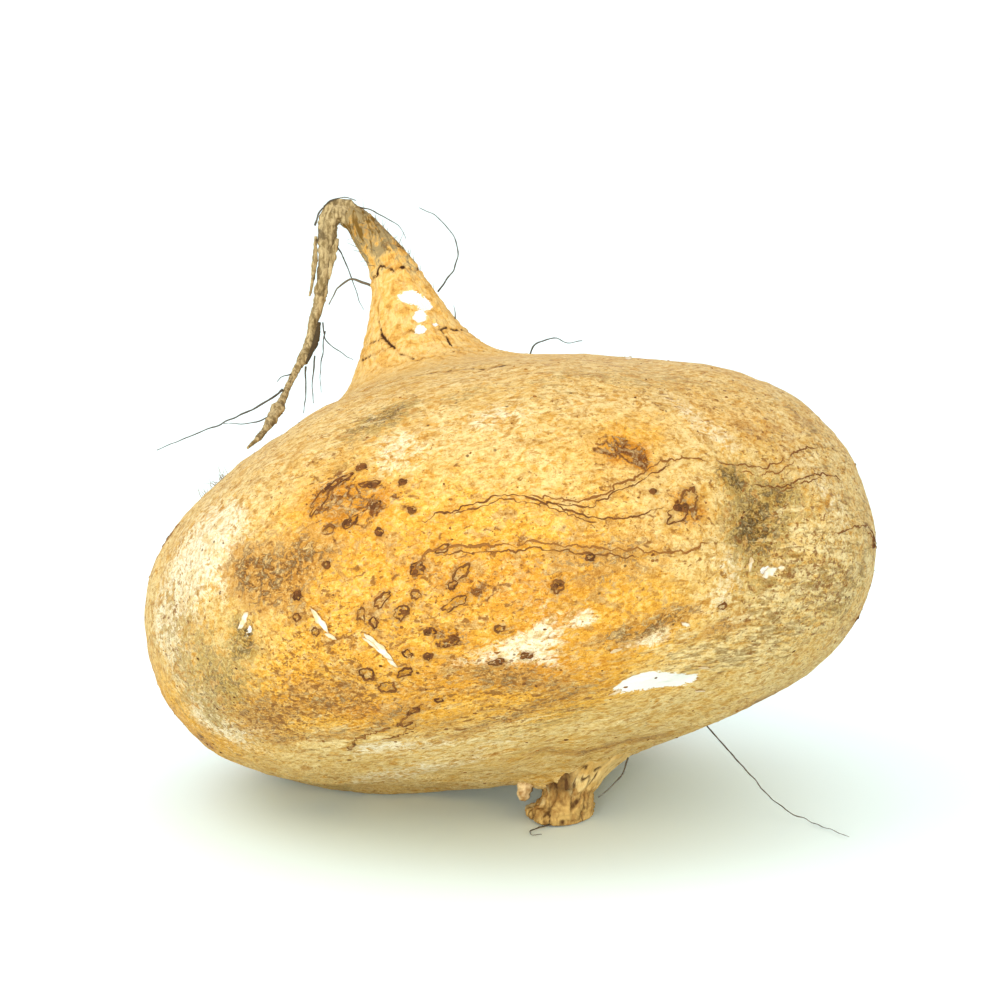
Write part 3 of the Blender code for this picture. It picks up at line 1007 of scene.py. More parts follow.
# %% [markdown]
# ## From the grid to a mesh
#
# The rings become rows of four-sided faces, closed at each end by a fan of triangles round one
# point. Every mask is kept on the vertices as an attribute, which a material can read by name.
# That keeps the colour in the right place without a picture to wrap round the root.


# %% Turn the grid into a mesh
def grid_mesh(name, points, foot, tip):
    """A closed mesh from rings of points in millimetres, with one point at each end."""
    rings, around = points.shape[:2]
    places = np.concatenate([points.reshape(-1, 3), [foot, tip]]) * MM
    first = np.arange(rings * around).reshape(rings, around)
    beside = np.roll(first, -1, 1)
    quads = np.stack([first[:-1], beside[:-1], beside[1:], first[1:]], -1).reshape(-1, 4)
    foot_at, tip_at = rings * around, rings * around + 1
    faces = quads.tolist()
    faces += [(foot_at, b, a) for a, b in zip(first[0].tolist(), beside[0].tolist())]
    faces += [(tip_at, a, b) for a, b in zip(first[-1].tolist(), beside[-1].tolist())]
    mesh = bpy.data.meshes.new(name)
    mesh.from_pydata(places.tolist(), [], faces)
    mesh.shade_smooth()
    return mesh


def store(mesh, name, grid):
    """Keeps a number or a vector of the grid on the mesh's vertices, for the material to read."""
    vector = grid.ndim == 3
    flat = grid.reshape(-1, 3) if vector else grid.reshape(-1)
    values = np.concatenate([flat, flat[:1], flat[-1:]])
    kept = mesh.attributes.new(name, "FLOAT_VECTOR" if vector else "FLOAT", "POINT")
    kept.data.foreach_set("vector" if vector else "value", values.astype(np.float32).ravel())


def add_piece(name, mesh, finish, slot, *stands_for):
    """Puts a mesh in the scene as a piece of the root."""
    mesh.materials.clear()
    mesh.materials.append(finish)
    piece = bpy.data.objects.new(name, mesh)
    bpy.context.scene.collection.objects.link(piece)
    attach(piece, "root")
    if stands_for:
        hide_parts(*stands_for)
    return piece


print("ground held at", FLAT_AT, "mm")

# %% The skin as a mesh
foot_point = lie_down(root_point(np.array(0.0), np.array(0.0))) + MIDDLE
tip_point = lie_down(root_point(np.array(1.0), np.array(0.0))) + MIDDLE
skin_mesh = grid_mesh("tuber_skin", skin, foot_point, tip_point)
CM = 0.1
store(skin_mesh, "grain", np.stack([own[..., 0], own[..., 1], along_grid], -1) * CM)
for name, mask in masks.items():
    store(skin_mesh, name, mask)
print("skin mesh:", len(skin_mesh.vertices), "vertices,", len(skin_mesh.polygons), "faces")

# %% [markdown]
# ## What the skin is made of
#
# The skin is thin dry cork over wet flesh. Up close it is a fine grit of tan and ochre with
# short dark streaks that run round the root, pin-prick pores, and stains of different colours.
# Each stain uses its own mask, broken up by noise at two or three sizes. Only the small grain
# is left to the bump, because the larger shapes are already in the mesh. The recipe starts
# with the widest tones and ends with the finest grains.

# %% Skin colours
CREAM = seen(0.98, 0.88, 0.64)
TAN = seen(0.93, 0.80, 0.53)
STRAW = seen(0.90, 0.74, 0.42)
OCHRE = seen(0.94, 0.70, 0.24)
ORANGE = seen(0.84, 0.55, 0.12)
BURNT = seen(0.64, 0.38, 0.09)
SANDY_BROWN = seen(0.73, 0.55, 0.27)
FLECK_BROWN = seen(0.53, 0.33, 0.12)
STREAK_OLIVE = seen(0.52, 0.39, 0.17)
PORE_BROWN = seen(0.34, 0.20, 0.07)
MURK_GREEN = seen(0.73, 0.61, 0.33)
MURK_DARK = seen(0.47, 0.34, 0.11)
SOIL_DARK = seen(0.29, 0.20, 0.05)
UMBER_PALE = seen(0.80, 0.59, 0.28)
UMBER_BROWN = seen(0.55, 0.35, 0.10)
RUST_ORANGE = seen(0.87, 0.60, 0.16)
RUST_BROWN = seen(0.48, 0.27, 0.05)
CHALK_AND_LIT_WHITE = seen(1.0, 0.95, 0.83)
FLESH_WHITE = seen(1.0, 0.99, 0.94)
CRACK_BROWN = seen(0.27, 0.15, 0.05)
# These darken and lighten whatever colour lies under them.
DARKER = (0.60, 0.46, 0.26, 1.0)
DUSKY = (0.80, 0.68, 0.42, 1.0)
LIGHTER = (0.26, 0.20, 0.09, 1.0)
print("straw in linear light:", [round(part, 3) for part in STRAW[:3]])

# %% Skin material: the ground tone
bark = Finish("jicama_skin", 0.66, 0.12)
grain = bark.field("grain", vector=True)
squat = bark.stretch(grain, (1.0, 1.0, 1.35))
neck_share = bark.field("neck")
off_neck = bark.sums("SUBTRACT", 1.0, neck_share)
large = bark.clouds(squat, 0.8, 4, 0.6, 0.3)
middling = bark.clouds(squat, 3.0, 5, 0.68, 0.5)
drifts = bark.clouds(squat, 5.5, 5, 0.72, 0.9)
small = bark.clouds(squat, 11.0, 4, 0.7, 0.6)
grit = bark.clouds(grain, 45.0, 3, 0.7)
banded = bark.clouds(bark.stretch(grain, (1.5, 1.5, 7.0)), 1.0, 4, 0.62, 0.6)
streaked = bark.clouds(bark.stretch(grain, (3.0, 3.0, 12.0)), 1.0, 4, 0.58, 0.5)
mottle = bark.sums("MULTIPLY_ADD", small, 0.45, bark.sums("MULTIPLY", middling, 0.55))

tone = bark.mix(bark.step(large, 0.42, 0.57), STRAW, TAN)
tone = bark.layer(tone, CREAM, bark.step(middling, 0.50, 0.60), 0.9)
tone = bark.layer(tone, OCHRE, bark.step(drifts, 0.49, 0.38), 0.6)
warm = bark.field("warm")
tone = bark.layer(tone, OCHRE, bark.blot(warm, middling, 0.05, 0.75, 2.4))
tone = bark.layer(tone, ORANGE, bark.blot(warm, middling, 0.85, 1.65, 4.5))
tone = bark.layer(tone, BURNT, bark.blot(warm, drifts, 1.30, 2.00, 6.5), 0.6)
print("ground tone:", len(bark.tree.nodes), "nodes")

# %% Skin material: stains
# Chalky worn places, with a band of painted light along the lower rim.
tone = bark.layer(tone, CHALK_AND_LIT_WHITE, bark.blot(bark.field("chalk_and_painted_light"), drifts, 0.25, 0.95, 2.6), 0.85)
murk = bark.field("murk")
tone = bark.layer(tone, MURK_GREEN, bark.blot(murk, middling, 0.30, 0.66, 5.0), 0.85)
tone = bark.layer(tone, MURK_DARK, bark.blot(murk, drifts, 0.86, 1.20, 7.0))
tone = bark.layer(tone, SOIL_DARK, bark.blot(murk, drifts, 1.35, 1.65, 8.0))
umber = bark.field("umber")
tone = bark.layer(tone, UMBER_PALE, bark.blot(umber, middling, 0.25, 0.62, 4.4), 0.8)
tone = bark.layer(tone, UMBER_BROWN, bark.blot(umber, drifts, 0.82, 1.16, 7.0))
tone = bark.layer(tone, PORE_BROWN, bark.blot(umber, drifts, 1.30, 1.60, 8.0), 0.8)
rust = bark.field("rust")
tone = bark.layer(tone, RUST_ORANGE, bark.blot(rust, drifts, 0.25, 0.85, 3.4))
tone = bark.layer(tone, RUST_BROWN, bark.blot(rust, small, 1.10, 1.50, 6.0))
cell_edge = bark.cells(bark.warp(grain, 4.0, 0.22), 4.6, "DISTANCE_TO_EDGE")
outlines = bark.sums("MULTIPLY", bark.step(cell_edge, 0.16, 0.05), bark.blot(rust, middling, 0.60, 1.00, 4.0))
tone = bark.layer(tone, RUST_BROWN, outlines)
print("with stains:", len(bark.tree.nodes), "nodes")

# %% Skin material: streaks, scabs and mottling
streaky = bark.field("streaky")
pale_streaks = bark.sums("MULTIPLY", off_neck, bark.blot(streaky, banded, 1.00, 1.40, 5.0))
tone = bark.layer(tone, CREAM, pale_streaks, 0.6)
dark_streaks = bark.sums("MULTIPLY", off_neck, bark.blot(streaky, streaked, 1.15, 1.75, 5.0))
tone = bark.layer(tone, STREAK_OLIVE, dark_streaks, 0.65)
tone = bark.layer(tone, SANDY_BROWN, bark.sums("MULTIPLY", off_neck, bark.step(banded, 0.43, 0.33)), 0.5)
scab = bark.field("scab")
tone = bark.layer(tone, FLECK_BROWN, bark.blot(scab, small, 0.35, 0.70, 2.4))
tone = bark.layer(tone, PORE_BROWN, bark.blot(scab, small, 0.75, 1.10, 3.8))
tone = bark.layer(tone, RUST_BROWN, bark.blot(bark.field("rim"), small, 0.66, 0.94, 1.8), 0.55)
tone = bark.layer(tone, FLECK_BROWN, bark.blot(bark.field("seam"), small, 0.72, 0.98, 1.8), 0.28)
tone = bark.layer(tone, DUSKY, bark.step(middling, 0.53, 0.36), 0.9, "MULTIPLY")
tone = bark.layer(tone, DUSKY, bark.step(drifts, 0.52, 0.36), 0.6, "MULTIPLY")
tone = bark.layer(tone, DARKER, bark.step(small, 0.51, 0.34), 0.7, "MULTIPLY")
tone = bark.layer(tone, LIGHTER, bark.step(drifts, 0.50, 0.66), 0.8, "SCREEN")
tone = bark.layer(tone, LIGHTER, bark.step(small, 0.50, 0.66), 0.8, "SCREEN")
print("with streaks and mottling:", len(bark.tree.nodes), "nodes")

# %% Skin material: flecks, pores and grit
# How dense each kind of dot is, how far it reaches, and where the choice of dots starts.
DOTS = [(7.0, 0.10, 0.60), (3.6, 0.14, 0.72)]

fleck = bark.field("fleck")
flecks = bark.blot(fleck, bark.clouds(squat, 6.5, 3, 0.55, 0.4), 1.15, 1.75, 6.5)
tone = bark.layer(tone, FLECK_BROWN, flecks, 0.85)
fine_flecks = bark.blot(fleck, bark.clouds(squat, 16.0, 2, 0.5, 0.3), 1.20, 1.75, 6.0)
tone = bark.layer(tone, FLECK_BROWN, fine_flecks, 0.8)
for density, reach, chosen in DOTS:
    warped = bark.warp(grain, 12.0, 0.03)
    near = bark.step(bark.cells(warped, density), reach, reach * 0.5)
    # A cell's random colour, read as one number, decides whether its dot is kept.
    colour = bark.cells(warped, density, output="Color")
    kept = bark.step(bark.sums("ADD", colour, 0.0), chosen, chosen + 0.08)
    tone = bark.layer(tone, PORE_BROWN, bark.sums("MULTIPLY", near, kept), 0.85)
pores = bark.sums("MULTIPLY", bark.step(bark.cells(grain, 22.0), 0.18, 0.07), bark.step(middling, 0.46, 0.58))
tone = bark.layer(tone, PORE_BROWN, pores, 0.6)
tone = bark.layer(tone, DARKER, bark.step(grit, 0.55, 0.70), 0.5, "MULTIPLY")
tone = bark.layer(tone, LIGHTER, bark.step(grit, 0.45, 0.30), 0.5, "SCREEN")
print("with flecks and pores:", len(bark.tree.nodes), "nodes")

# %% Skin material: the neck, the cracks and the bare flesh
NECK_ORANGE = seen(0.92, 0.70, 0.33)
NECK_PALE = seen(0.97, 0.82, 0.52)
NECK_BROWN = seen(0.66, 0.45, 0.18)
NECK_GREY = seen(0.63, 0.54, 0.36)
fibres = bark.clouds(bark.stretch(grain, (14.0, 14.0, 2.4)), 1.0, 4, 0.62, 0.5)
neck_blots = bark.clouds(grain, 5.0, 5, 0.68, 0.6)
neck_tone = bark.mix(bark.step(neck_blots, 0.40, 0.60), NECK_ORANGE, NECK_PALE)
neck_tone = bark.layer(neck_tone, NECK_BROWN, bark.step(neck_blots, 0.44, 0.32), 0.6)
neck_tone = bark.layer(neck_tone, DARKER, bark.step(fibres, 0.50, 0.38), 0.45, "MULTIPLY")
neck_top = bark.field("neck_top")
neck_tone = bark.layer(neck_tone, NECK_GREY, bark.blot(neck_top, neck_blots, 0.35, 1.00, 3.6))
neck_tone = bark.layer(neck_tone, MURK_DARK, bark.blot(neck_top, fibres, 0.80, 1.40, 4.2))
tone = bark.mix(neck_share, tone, neck_tone)
crack = bark.field("crack")
tone = bark.layer(tone, NECK_BROWN, bark.blot(crack, mottle, 0.15, 0.70, 1.2), 0.5)
tone = bark.layer(tone, CRACK_BROWN, bark.blot(crack, small, 0.50, 0.85, 0.9))
tone = bark.layer(tone, FLESH_WHITE, bark.blot(bark.field("bare"), small, 0.55, 0.64, 1.4))
print("with the neck:", len(bark.tree.nodes), "nodes")

# %% Skin material: fine relief
relief_small = bark.bump(mottle, 0.5, 0.0007)
relief_streak = bark.bump(streaked, 0.35, 0.0005, relief_small)
relief_grit = bark.bump(grit, 0.45, 0.00022, relief_streak)
bark.done(tone, relief_grit, bark.step(large, 0.3, 0.7, 0.52, 0.70))
add_piece("tuber_skin", skin_mesh, bark.material, "skin", "tuber")
print("skin material:", len(bark.tree.nodes), "nodes")

# %% [markdown]
# ## The dried tail, its strands and the rootlets
#
# The tail is a dead root, shrunk until its fibres stand out as ridges, with knots where side
# roots broke off. It is swept along a route with a ring of points whose radius has ridges and
# noise. The rootlets are the same sweep, thinner, with fewer sides, and they taper to a point.
# Their routes repeat those of the solids, so they stay where the solids are. The tail's bend
# is rounder than the solid's, and it starts inside the tip of the neck.

# %% Routes, in millimetres
TAIL_ROUTE = [
    (-26.9, 22.8, 102.9),
    (-28.4, 23.1, 104.2),
    (-29.8, 23.1, 104.3),
    (-31.0, 23.0, 103.1),
    (-31.6, 22.8, 100.4),
    (-32.1, 22.6, 95.8),
    (-33.1, 21.2, 88.4),
    (-34.2, 19.5, 84.6),
    (-34.8, 17.6, 81.6),
    (-35.5, 15.6, 79.2),
    (-36.5, 13.4, 77.6),
    (-37.4, 11.0, 75.9),
    (-38.2, 7.8, 74.1),
    (-38.9, 4.5, 72.5),
    (-39.5, 1.6, 71.4),
    (-40.2, -1.4, 70.2),
    (-41.0, -4.2, 68.9),
    (-42.1, -7.2, 67.7),
    (-43.9, -11.0, 66.4),
]
TAIL_RADII = [
    2.0, 2.0, 1.8, 1.5, 1.15, 0.95, 0.90, 0.85, 0.80,
    0.78, 0.70, 0.58, 0.55, 0.62, 0.85, 0.95, 0.50, 0.42, 0.22,
]

SIDE_STRANDS = {
    "tail_inner_strand": (0.5, [
        (-29.6, 20.4, 99.6), (-30.3, 20.2, 97.4), (-30.9, 20.0, 94.6), (-31.3, 19.9, 92.2),
    ]),
    "tail_outer_strand": (0.45, [
        (-33.8, 22.4, 99.8), (-34.0, 22.2, 95.4), (-34.5, 21.6, 91.5), (-35.0, 21.0, 89.0),
    ]),
    "tail_dark_strand": (0.42, [
        (-33.0, 17.8, 84.6), (-33.5, 16.0, 81.7), (-34.3, 14.2, 79.6), (-35.1, 12.6, 78.0),
    ]),
}

ROOTLETS = {
    "rootlet_bridge": (0.4, [
        (-24.6, 20.2, 91.4), (-25.9, 20.6, 91.8), (-27.2, 20.8, 92.0),
        (-28.8, 20.9, 91.5), (-30.1, 20.9, 90.2), (-30.9, 20.7, 88.6),
    ]),
    "rootlet_inner": (0.22, [
        (-29.9, 23.4, 97.6), (-28.6, 23.4, 95.2), (-27.4, 23.4, 92.0),
        (-26.4, 23.2, 89.0), (-25.2, 22.2, 86.4),
    ]),
    "rootlet_loop": (0.22, [
        (-32.4, 18.6, 84.0), (-32.2, 18.0, 82.4), (-31.6, 17.6, 81.0),
        (-29.7, 17.4, 79.5), (-28.1, 17.0, 78.6), (-26.9, 16.6, 78.0),
    ]),
    "rootlet_left_long": (0.28, [
        (-39.3, 6.0, 73.8), (-40.4, 5.7, 72.9), (-45.3, 4.6, 70.2),
        (-52.4, 4.0, 67.2), (-57.2, 3.6, 65.3), (-61.3, 3.0, 63.6),
    ]),
    "rootlet_left_fine": (0.2, [
        (-41.5, -0.6, 70.0), (-42.6, -0.8, 69.5), (-45.4, -1.0, 69.0), (-49.2, -1.0, 69.1),
    ]),
    "rootlet_left_short": (0.2, [
        (-38.2, 9.6, 76.2), (-39.3, 9.4, 76.0), (-40.2, 9.0, 75.0),
    ]),
    "rootlet_hanging_a": (0.28, [
        (-35.2, 11.9, 76.9), (-35.2, 11.6, 74.6), (-35.2, 10.6, 71.6), (-35.5, 8.6, 69.4),
    ]),
    "rootlet_hanging_b": (0.26, [
        (-33.7, 13.6, 78.6), (-33.9, 13.8, 76.3), (-34.2, 13.4, 73.6), (-33.9, 12.4, 70.6),
    ]),
    "rootlet_hanging_c": (0.2, [
        (-32.2, 20.2, 82.2), (-32.6, 20.0, 79.6), (-33.0, 18.8, 75.4), (-32.8, 17.4, 71.8),
    ]),
    "rootlet_neck_top": (0.2, [
        (-25.2, 21.6, 105.0), (-23.0, 21.4, 104.4), (-20.3, 21.6, 102.8),
        (-18.2, 22.0, 101.4), (-17.4, 22.0, 99.4),
    ]),
    "rootlet_curl": (0.24, [
        (-11.2, 17.0, 90.7), (-10.6, 16.9, 91.6), (-9.7, 17.0, 92.8), (-8.5, 17.0, 94.4),
        (-7.8, 17.4, 97.2), (-8.5, 17.8, 100.0), (-10.0, 18.0, 102.1),
        (-12.0, 18.0, 104.0), (-14.8, 18.0, 105.4),
    ]),
    "rootlet_over_bend": (0.28, [
        (-33.8, 22.6, 102.2), (-33.1, 22.6, 104.2), (-31.8, 22.6, 105.8), (-30.0, 22.6, 106.7),
        (-28.2, 22.6, 106.8), (-26.4, 22.6, 106.3),
    ]),
    "rootlet_behind_top": (0.24, [
        (5.2, 12.4, 79.6), (5.6, 12.4, 80.8), (7.0, 12.6, 81.9), (9.4, 13.0, 82.3),
        (11.4, 13.4, 81.7), (12.8, 13.8, 81.6), (14.6, 14.0, 81.8),
    ]),
    "rootlet_under_right": (0.24, [
        (22.2, -14.2, 11.4), (21.6, -15.4, 9.8), (19.9, -15.2, 7.4),
        (18.7, -14.6, 6.0), (17.2, -14.2, 4.6),
    ]),
    "rootlet_under_stub": (0.22, [
        (8.2, -17.4, 0.5), (6.4, -18.6, 0.3), (5.2, -20.4, 0.3), (5.6, -22.6, 0.3), (7.2, -22.2, 0.3),
    ]),
    "rootlet_right_long": (0.2, [
        (37.4, 0.2, 13.4), (39.6, -1.6, 11.2), (43.7, -5.0, 7.2), (47.4, -8.4, 3.6),
        (51.2, -11.8, 1.2), (55.6, -16.0, 0.3), (60.4, -23.6, 0.3),
    ]),
}
print(len(ROOTLETS), "rootlets and", len(SIDE_STRANDS), "side strands")

# %% [markdown]
# ## Sweeping tubes and gathering small shapes
#
# A tube is a ring of points carried along a route. The ring must not twist on the way, so each
# ring's directions are taken from the one before and only turned as far as the route turns.
# Hundreds of small tubes and lumps would be slow as objects of their own, so the seams and rings,
# the specks, the flakes and the tufts are each gathered into one mesh.


# %% Routes and rings
def along_route(route, step):
    """Points every step millimetres along a smooth curve through the route."""
    route = np.array(route, float)
    share = np.linspace(0, 1, 40 * (len(route) - 1))
    fine = smooth_through(route, share)
    length = np.concatenate([[0], np.cumsum(np.linalg.norm(np.diff(fine, axis=0), axis=1))])
    at = np.linspace(0, length[-1], max(4, int(length[-1] / step)))
    return np.stack([np.interp(at, length, fine[:, k]) for k in range(3)], -1), at / length[-1]


def ring_frames(points):
    """Two directions across the route at every point, carried along without twisting."""
    ahead = np.gradient(points, axis=0)
    ahead = ahead / np.linalg.norm(ahead, axis=1, keepdims=True)
    start = np.array([0.0, 0.0, 1.0]) if abs(ahead[0][2]) < 0.9 else np.array([1.0, 0.0, 0.0])
    side = np.cross(ahead[0], start)
    sides = []
    for forward in ahead:
        side = side - forward * (side @ forward)
        side = side / np.linalg.norm(side)
        sides.append(side)
    sides = np.array(sides)
    return sides, np.cross(ahead, sides)


def lay_on_skin(path, lift):
    """The places of a path of longitudes and heights, on the finished skin."""
    spots = [skin_at(skin, lon, high) for lon, high in path]
    return np.array([point + normal * lift for point, normal, _, _ in spots])


print("a tail of", len(along_route(TAIL_ROUTE, 1.0)[0]), "mm")


# %% Tubes and lumps
class Gathered:
    """Vertices and faces of many small closed shapes, in millimetres."""

    def __init__(self):
        self.points = []
        self.faces = []
        self.tints = []
        self.count = 0

    def add(self, points, faces, tint=0.5):
        """Takes in one closed shape. A tint is one number, or one for each point."""
        self.faces += [tuple(i + self.count for i in face) for face in faces]
        self.points += [tuple(point) for point in points]
        self.tints += [tint] * len(points) if np.isscalar(tint) else list(tint)
        self.count += len(points)

    def tube(self, points, radii, sides=6, ridges=0.0, rough=0.0, salt=0.0, tint=0.5, twist=0.0):
        """A closed tube round the points. Ridges run along it, and rough breaks them up."""
        across, over = ring_frames(points)
        around = np.linspace(0, math.tau, sides, endpoint=False)
        rings = []
        for i, (middle, radius) in enumerate(zip(points, radii)):
            turn = around + twist * i
            ring = middle + radius * (np.cos(turn)[:, None] * across[i] + np.sin(turn)[:, None] * over[i])
            if ridges or rough:
                lift = [
                    1
                    + ridges * noise.noise(Vector((math.cos(a) * 2.6 + salt, math.sin(a) * 2.6, i * 0.05)))
                    + rough * noise.fractal(Vector(p) * 1.1 + Vector((salt, 0, 0)), 0.8, 2.0, 3)
                    for a, p in zip(around, ring)
                ]
                ring = middle + (ring - middle) * np.array(lift)[:, None]
            rings.append(ring)
        flat = np.concatenate(rings + [[points[0]], [points[-1]]])
        faces = []
        rows = len(points)
        for i in range(rows - 1):
            for j in range(sides):
                k = (j + 1) % sides
                faces.append((i * sides + j, i * sides + k, (i + 1) * sides + k, (i + 1) * sides + j))
        foot, tip = rows * sides, rows * sides + 1
        for j in range(sides):
            k = (j + 1) % sides
            faces.append((foot, k, j))
            faces.append((tip, (rows - 1) * sides + j, (rows - 1) * sides + k))
        self.add(flat, faces, tint)

    def dome(self, middle, normal, east, up, wide, tall, high, salt=0.0, tint=0.5, sides=7):
        """A low uneven lump that sits on the skin, a little sunk in."""
        angles = np.linspace(0, math.tau, sides, endpoint=False)
        uneven = np.array([
            1 + 0.45 * noise.noise(Vector((math.cos(a) * 1.3 + salt, math.sin(a) * 1.3, salt)))
            for a in angles
        ])
        along_east = (np.cos(angles) * uneven * wide)[:, None] * east
        rim = middle + along_east + (np.sin(angles) * uneven * tall)[:, None] * up
        low = rim - normal * high * 0.8
        shoulder = middle + (rim - middle) * 0.62 + normal * high * 0.75
        points = np.concatenate([low, shoulder, [middle - normal * high * 0.8, middle + normal * high]])
        faces = []
        for j in range(sides):
            k = (j + 1) % sides
            faces.append((j, k, sides + k, sides + j))
            faces.append((2 * sides, k, j))
            faces.append((2 * sides + 1, sides + j, sides + k))
        self.add(points, faces, tint)

    def mesh(self, name):
        """Everything gathered, as one mesh with its tints."""
        made = bpy.data.meshes.new(name)
        made.from_pydata((np.array(self.points) * MM).tolist(), [], self.faces)
        made.shade_smooth()
        kept = made.attributes.new("tint", "FLOAT", "POINT")
        kept.data.foreach_set("value", np.array(self.tints, np.float32))
        return made


print("tubes and lumps are gathered in millimetres,", MM, "m each")

# %% [markdown]
# ## Dry root and hair
#
# The dried tail is khaki where the light catches its fibres and dark where bark is left. The
# fibres are noise drawn out along the height. The rootlets are too thin to show any grain, so
# two pairs of plain tones are enough, chosen by the tint of each hair.

# %% Dry root and hair finishes
dry = Finish("dry_root", 0.85, 0.2)
dry_place = dry.place()
dry_fibres = dry.clouds(dry.stretch(dry_place, (1500, 1500, 260)), 1.0, 4, 0.65)
dry_spots = dry.clouds(dry_place, 420.0, 4, 0.6)
dry_tone = dry.mix(dry.step(dry_fibres, 0.36, 0.62), seen(0.52, 0.43, 0.26), seen(0.80, 0.70, 0.50))
dry_tone = dry.mix(dry.step(dry_spots, 0.52, 0.68, 0.0, 0.8), dry_tone, seen(0.36, 0.28, 0.16))
dry_tone = dry.mix(dry.step(dry.field("tint"), 0.5, 1.0), dry_tone, seen(0.28, 0.22, 0.13))
dry.done(dry_tone, dry.bump(dry_fibres, 0.6, 0.0004))

hair = Finish("rootlet_hair", 0.75, 0.25)
hair_tone = hair.clouds(hair.place(), 260.0, 3)
hair.done(
    hair.mix(
        hair.step(hair.field("tint"), 0.0, 1.0),
        hair.mix(hair_tone, seen(0.24, 0.20, 0.16), seen(0.36, 0.32, 0.27)),
        hair.mix(hair_tone, seen(0.52, 0.44, 0.32), seen(0.68, 0.60, 0.46)),
    )
)
print("dry root:", len(dry.tree.nodes), "nodes, hair:", len(hair.tree.nodes), "nodes")

# %% The tail and its strands
tail = Gathered()
tail_points, tail_share = along_route(TAIL_ROUTE, 0.4)
tail_points = tail_points + MIDDLE
tail_radii = np.interp(tail_share, np.linspace(0, 1, len(TAIL_RADII)), TAIL_RADII)
# Share of the way along, how much thicker, and how wide as a share of the length.
KNOTS = [(0.30, 0.18, 0.02), (0.52, 0.35, 0.018), (0.78, 0.40, 0.02), (0.93, 0.30, 0.014)]
for share, more, width in KNOTS:
    tail_radii = tail_radii * (1 + more * bell(tail_share - share, width))
TAIL_SIDES = 26
tail_tints = np.clip(1.5 * tail_share - 0.9, 0, 0.6).repeat(TAIL_SIDES).tolist() + [0, 0.6]
tail.tube(tail_points, tail_radii, TAIL_SIDES, 0.34, 0.26, 2.0, tail_tints, 0.02)
add_piece("tail_root_dried", tail.mesh("tail_root_dried"), dry.material, "tail", "tail_root")

for number, (name, (radius, route)) in enumerate(SIDE_STRANDS.items()):
    strand = Gathered()
    points, share = along_route(route, 0.35)
    thin = radius * (1.25 - 0.75 * np.abs(2 * share - 0.9))
    tint = 0.95 if "dark" in name else 0.35
    strand.tube(points + MIDDLE, np.maximum(thin, 0.16), 10, 0.5, 0.5, 4.0 + number, tint)
    add_piece(name + "_dried", strand.mesh(name), dry.material, "tail", name)
print("tail of", len(tail_points), "rings")

# %% The rootlets
# How far each rootlet runs on past its solid, at its start and at its end, to meet what it grew from.
JOINED = {"rootlet_bridge": (1.2, 1.2)}
for number, (name, (radius, route)) in enumerate(ROOTLETS.items()):
    strand = Gathered()
    route = np.array(route, float)
    reach = JOINED.get(name, (0.5, 0.0))
    start_way, end_way = route[0] - route[1], route[-1] - route[-2]
    start = route[0] + reach[0] * start_way / np.linalg.norm(start_way)
    end = route[-1] + reach[1] * end_way / np.linalg.norm(end_way)
    points, share = along_route([start, *route, end] if reach[1] else [start, *route], 0.5)
    points = points + MIDDLE
    shake = np.array([
        [noise.noise(Vector((i * 0.21, k * 7.0, number * 3.0))) for k in range(3)]
        for i in range(len(points))
    ])
    fade = np.minimum(1, np.minimum(share, 1 - share) * 8)[:, None]
    points = points + 0.32 * shake * fade
    points[:, 2] = np.maximum(points[:, 2], radius * 0.8)
    taper = radius * 0.62 * (1.15 - 0.75 * share)
    strand.tube(points, taper, 6, 0.0, 0.35, number, 0.15 if radius < 0.3 else 0.4)
    add_piece(name + "_hair", strand.mesh(name), hair.material, "hair", name)
print(len(ROOTLETS), "rootlets swept")

# %% [markdown]
# ## The stub of the stem
#
# The vine was cut just below the root. What is left is a short knobbly stub with deep splits
# down its bark, which also props the root up. Its rings start level on the ground and turn to
# meet the slope of the root. Its top spreads out and goes a little way into the skin, so no
# gap shows. A small shoot bud hangs beside it.

# %% The shape of the stub
# Radius, then the centre of the ring: to the right, to the back and up.
STUB_OUTLINE = [
    (0.0, 10.2, -11.2, 0.0),
    (4.9, 10.2, -11.2, 0.0),
    (5.7, 10.2, -11.2, 0.9),
    (5.6, 10.6, -11.4, 2.2),
    (4.9, 11.3, -11.6, 3.4),
    (4.7, 11.9, -11.5, 4.8),
    (5.2, 12.5, -11.4, 6.0),
    (6.2, 13.5, -11.3, 8.0),
    (7.8, 15.2, -11.1, 10.8),
    (0.0, 15.2, -11.1, 11.6),
]
STUB_RINGS, STUB_AROUND = 84, 132
share, stub_longitude = np.meshgrid(
    np.linspace(0, 1, STUB_RINGS + 2)[1:-1],
    np.linspace(-math.pi, math.pi, STUB_AROUND + 1)[:-1],
    indexing="ij",
)
stub_row = smooth_through(STUB_OUTLINE, share)
stub_radius = np.maximum(stub_row[..., 0], 0) * (1 + 0.07 * np.cos(3 * stub_longitude + 0.6))
round_stub = np.stack([np.sin(stub_longitude), -np.cos(stub_longitude), np.zeros_like(share)], -1)
ring = round_stub * stub_radius[..., None]
sloping = np.clip(1.6 * share - 0.4, 0, 1)[..., None]
ring = ring * (1 - sloping) + (ring @ LEAN_TURN.T) * sloping
stub = stub_row[..., 1:] + ring + MIDDLE
stub_out = grid_normals(stub)
down_the_bark = np.stack(
    [np.cos(stub_longitude) * 2.1, np.sin(stub_longitude) * 2.1, stub[..., 2] * 0.10], -1
)
splits = cloud_field(down_the_bark, 1.0, 2, 12.5)
split_mask = bell(splits, 0.10)
knobs = cloud_field(stub, 3.2, 3, 30.3)
stub_relief = 0.75 * knobs + 0.30 * cloud_field(stub, 1.1, 3, 61.0) - 0.75 * split_mask
stub_relief *= np.clip(stub[..., 2], 0.0, 1.0) * 0.9 + 0.1
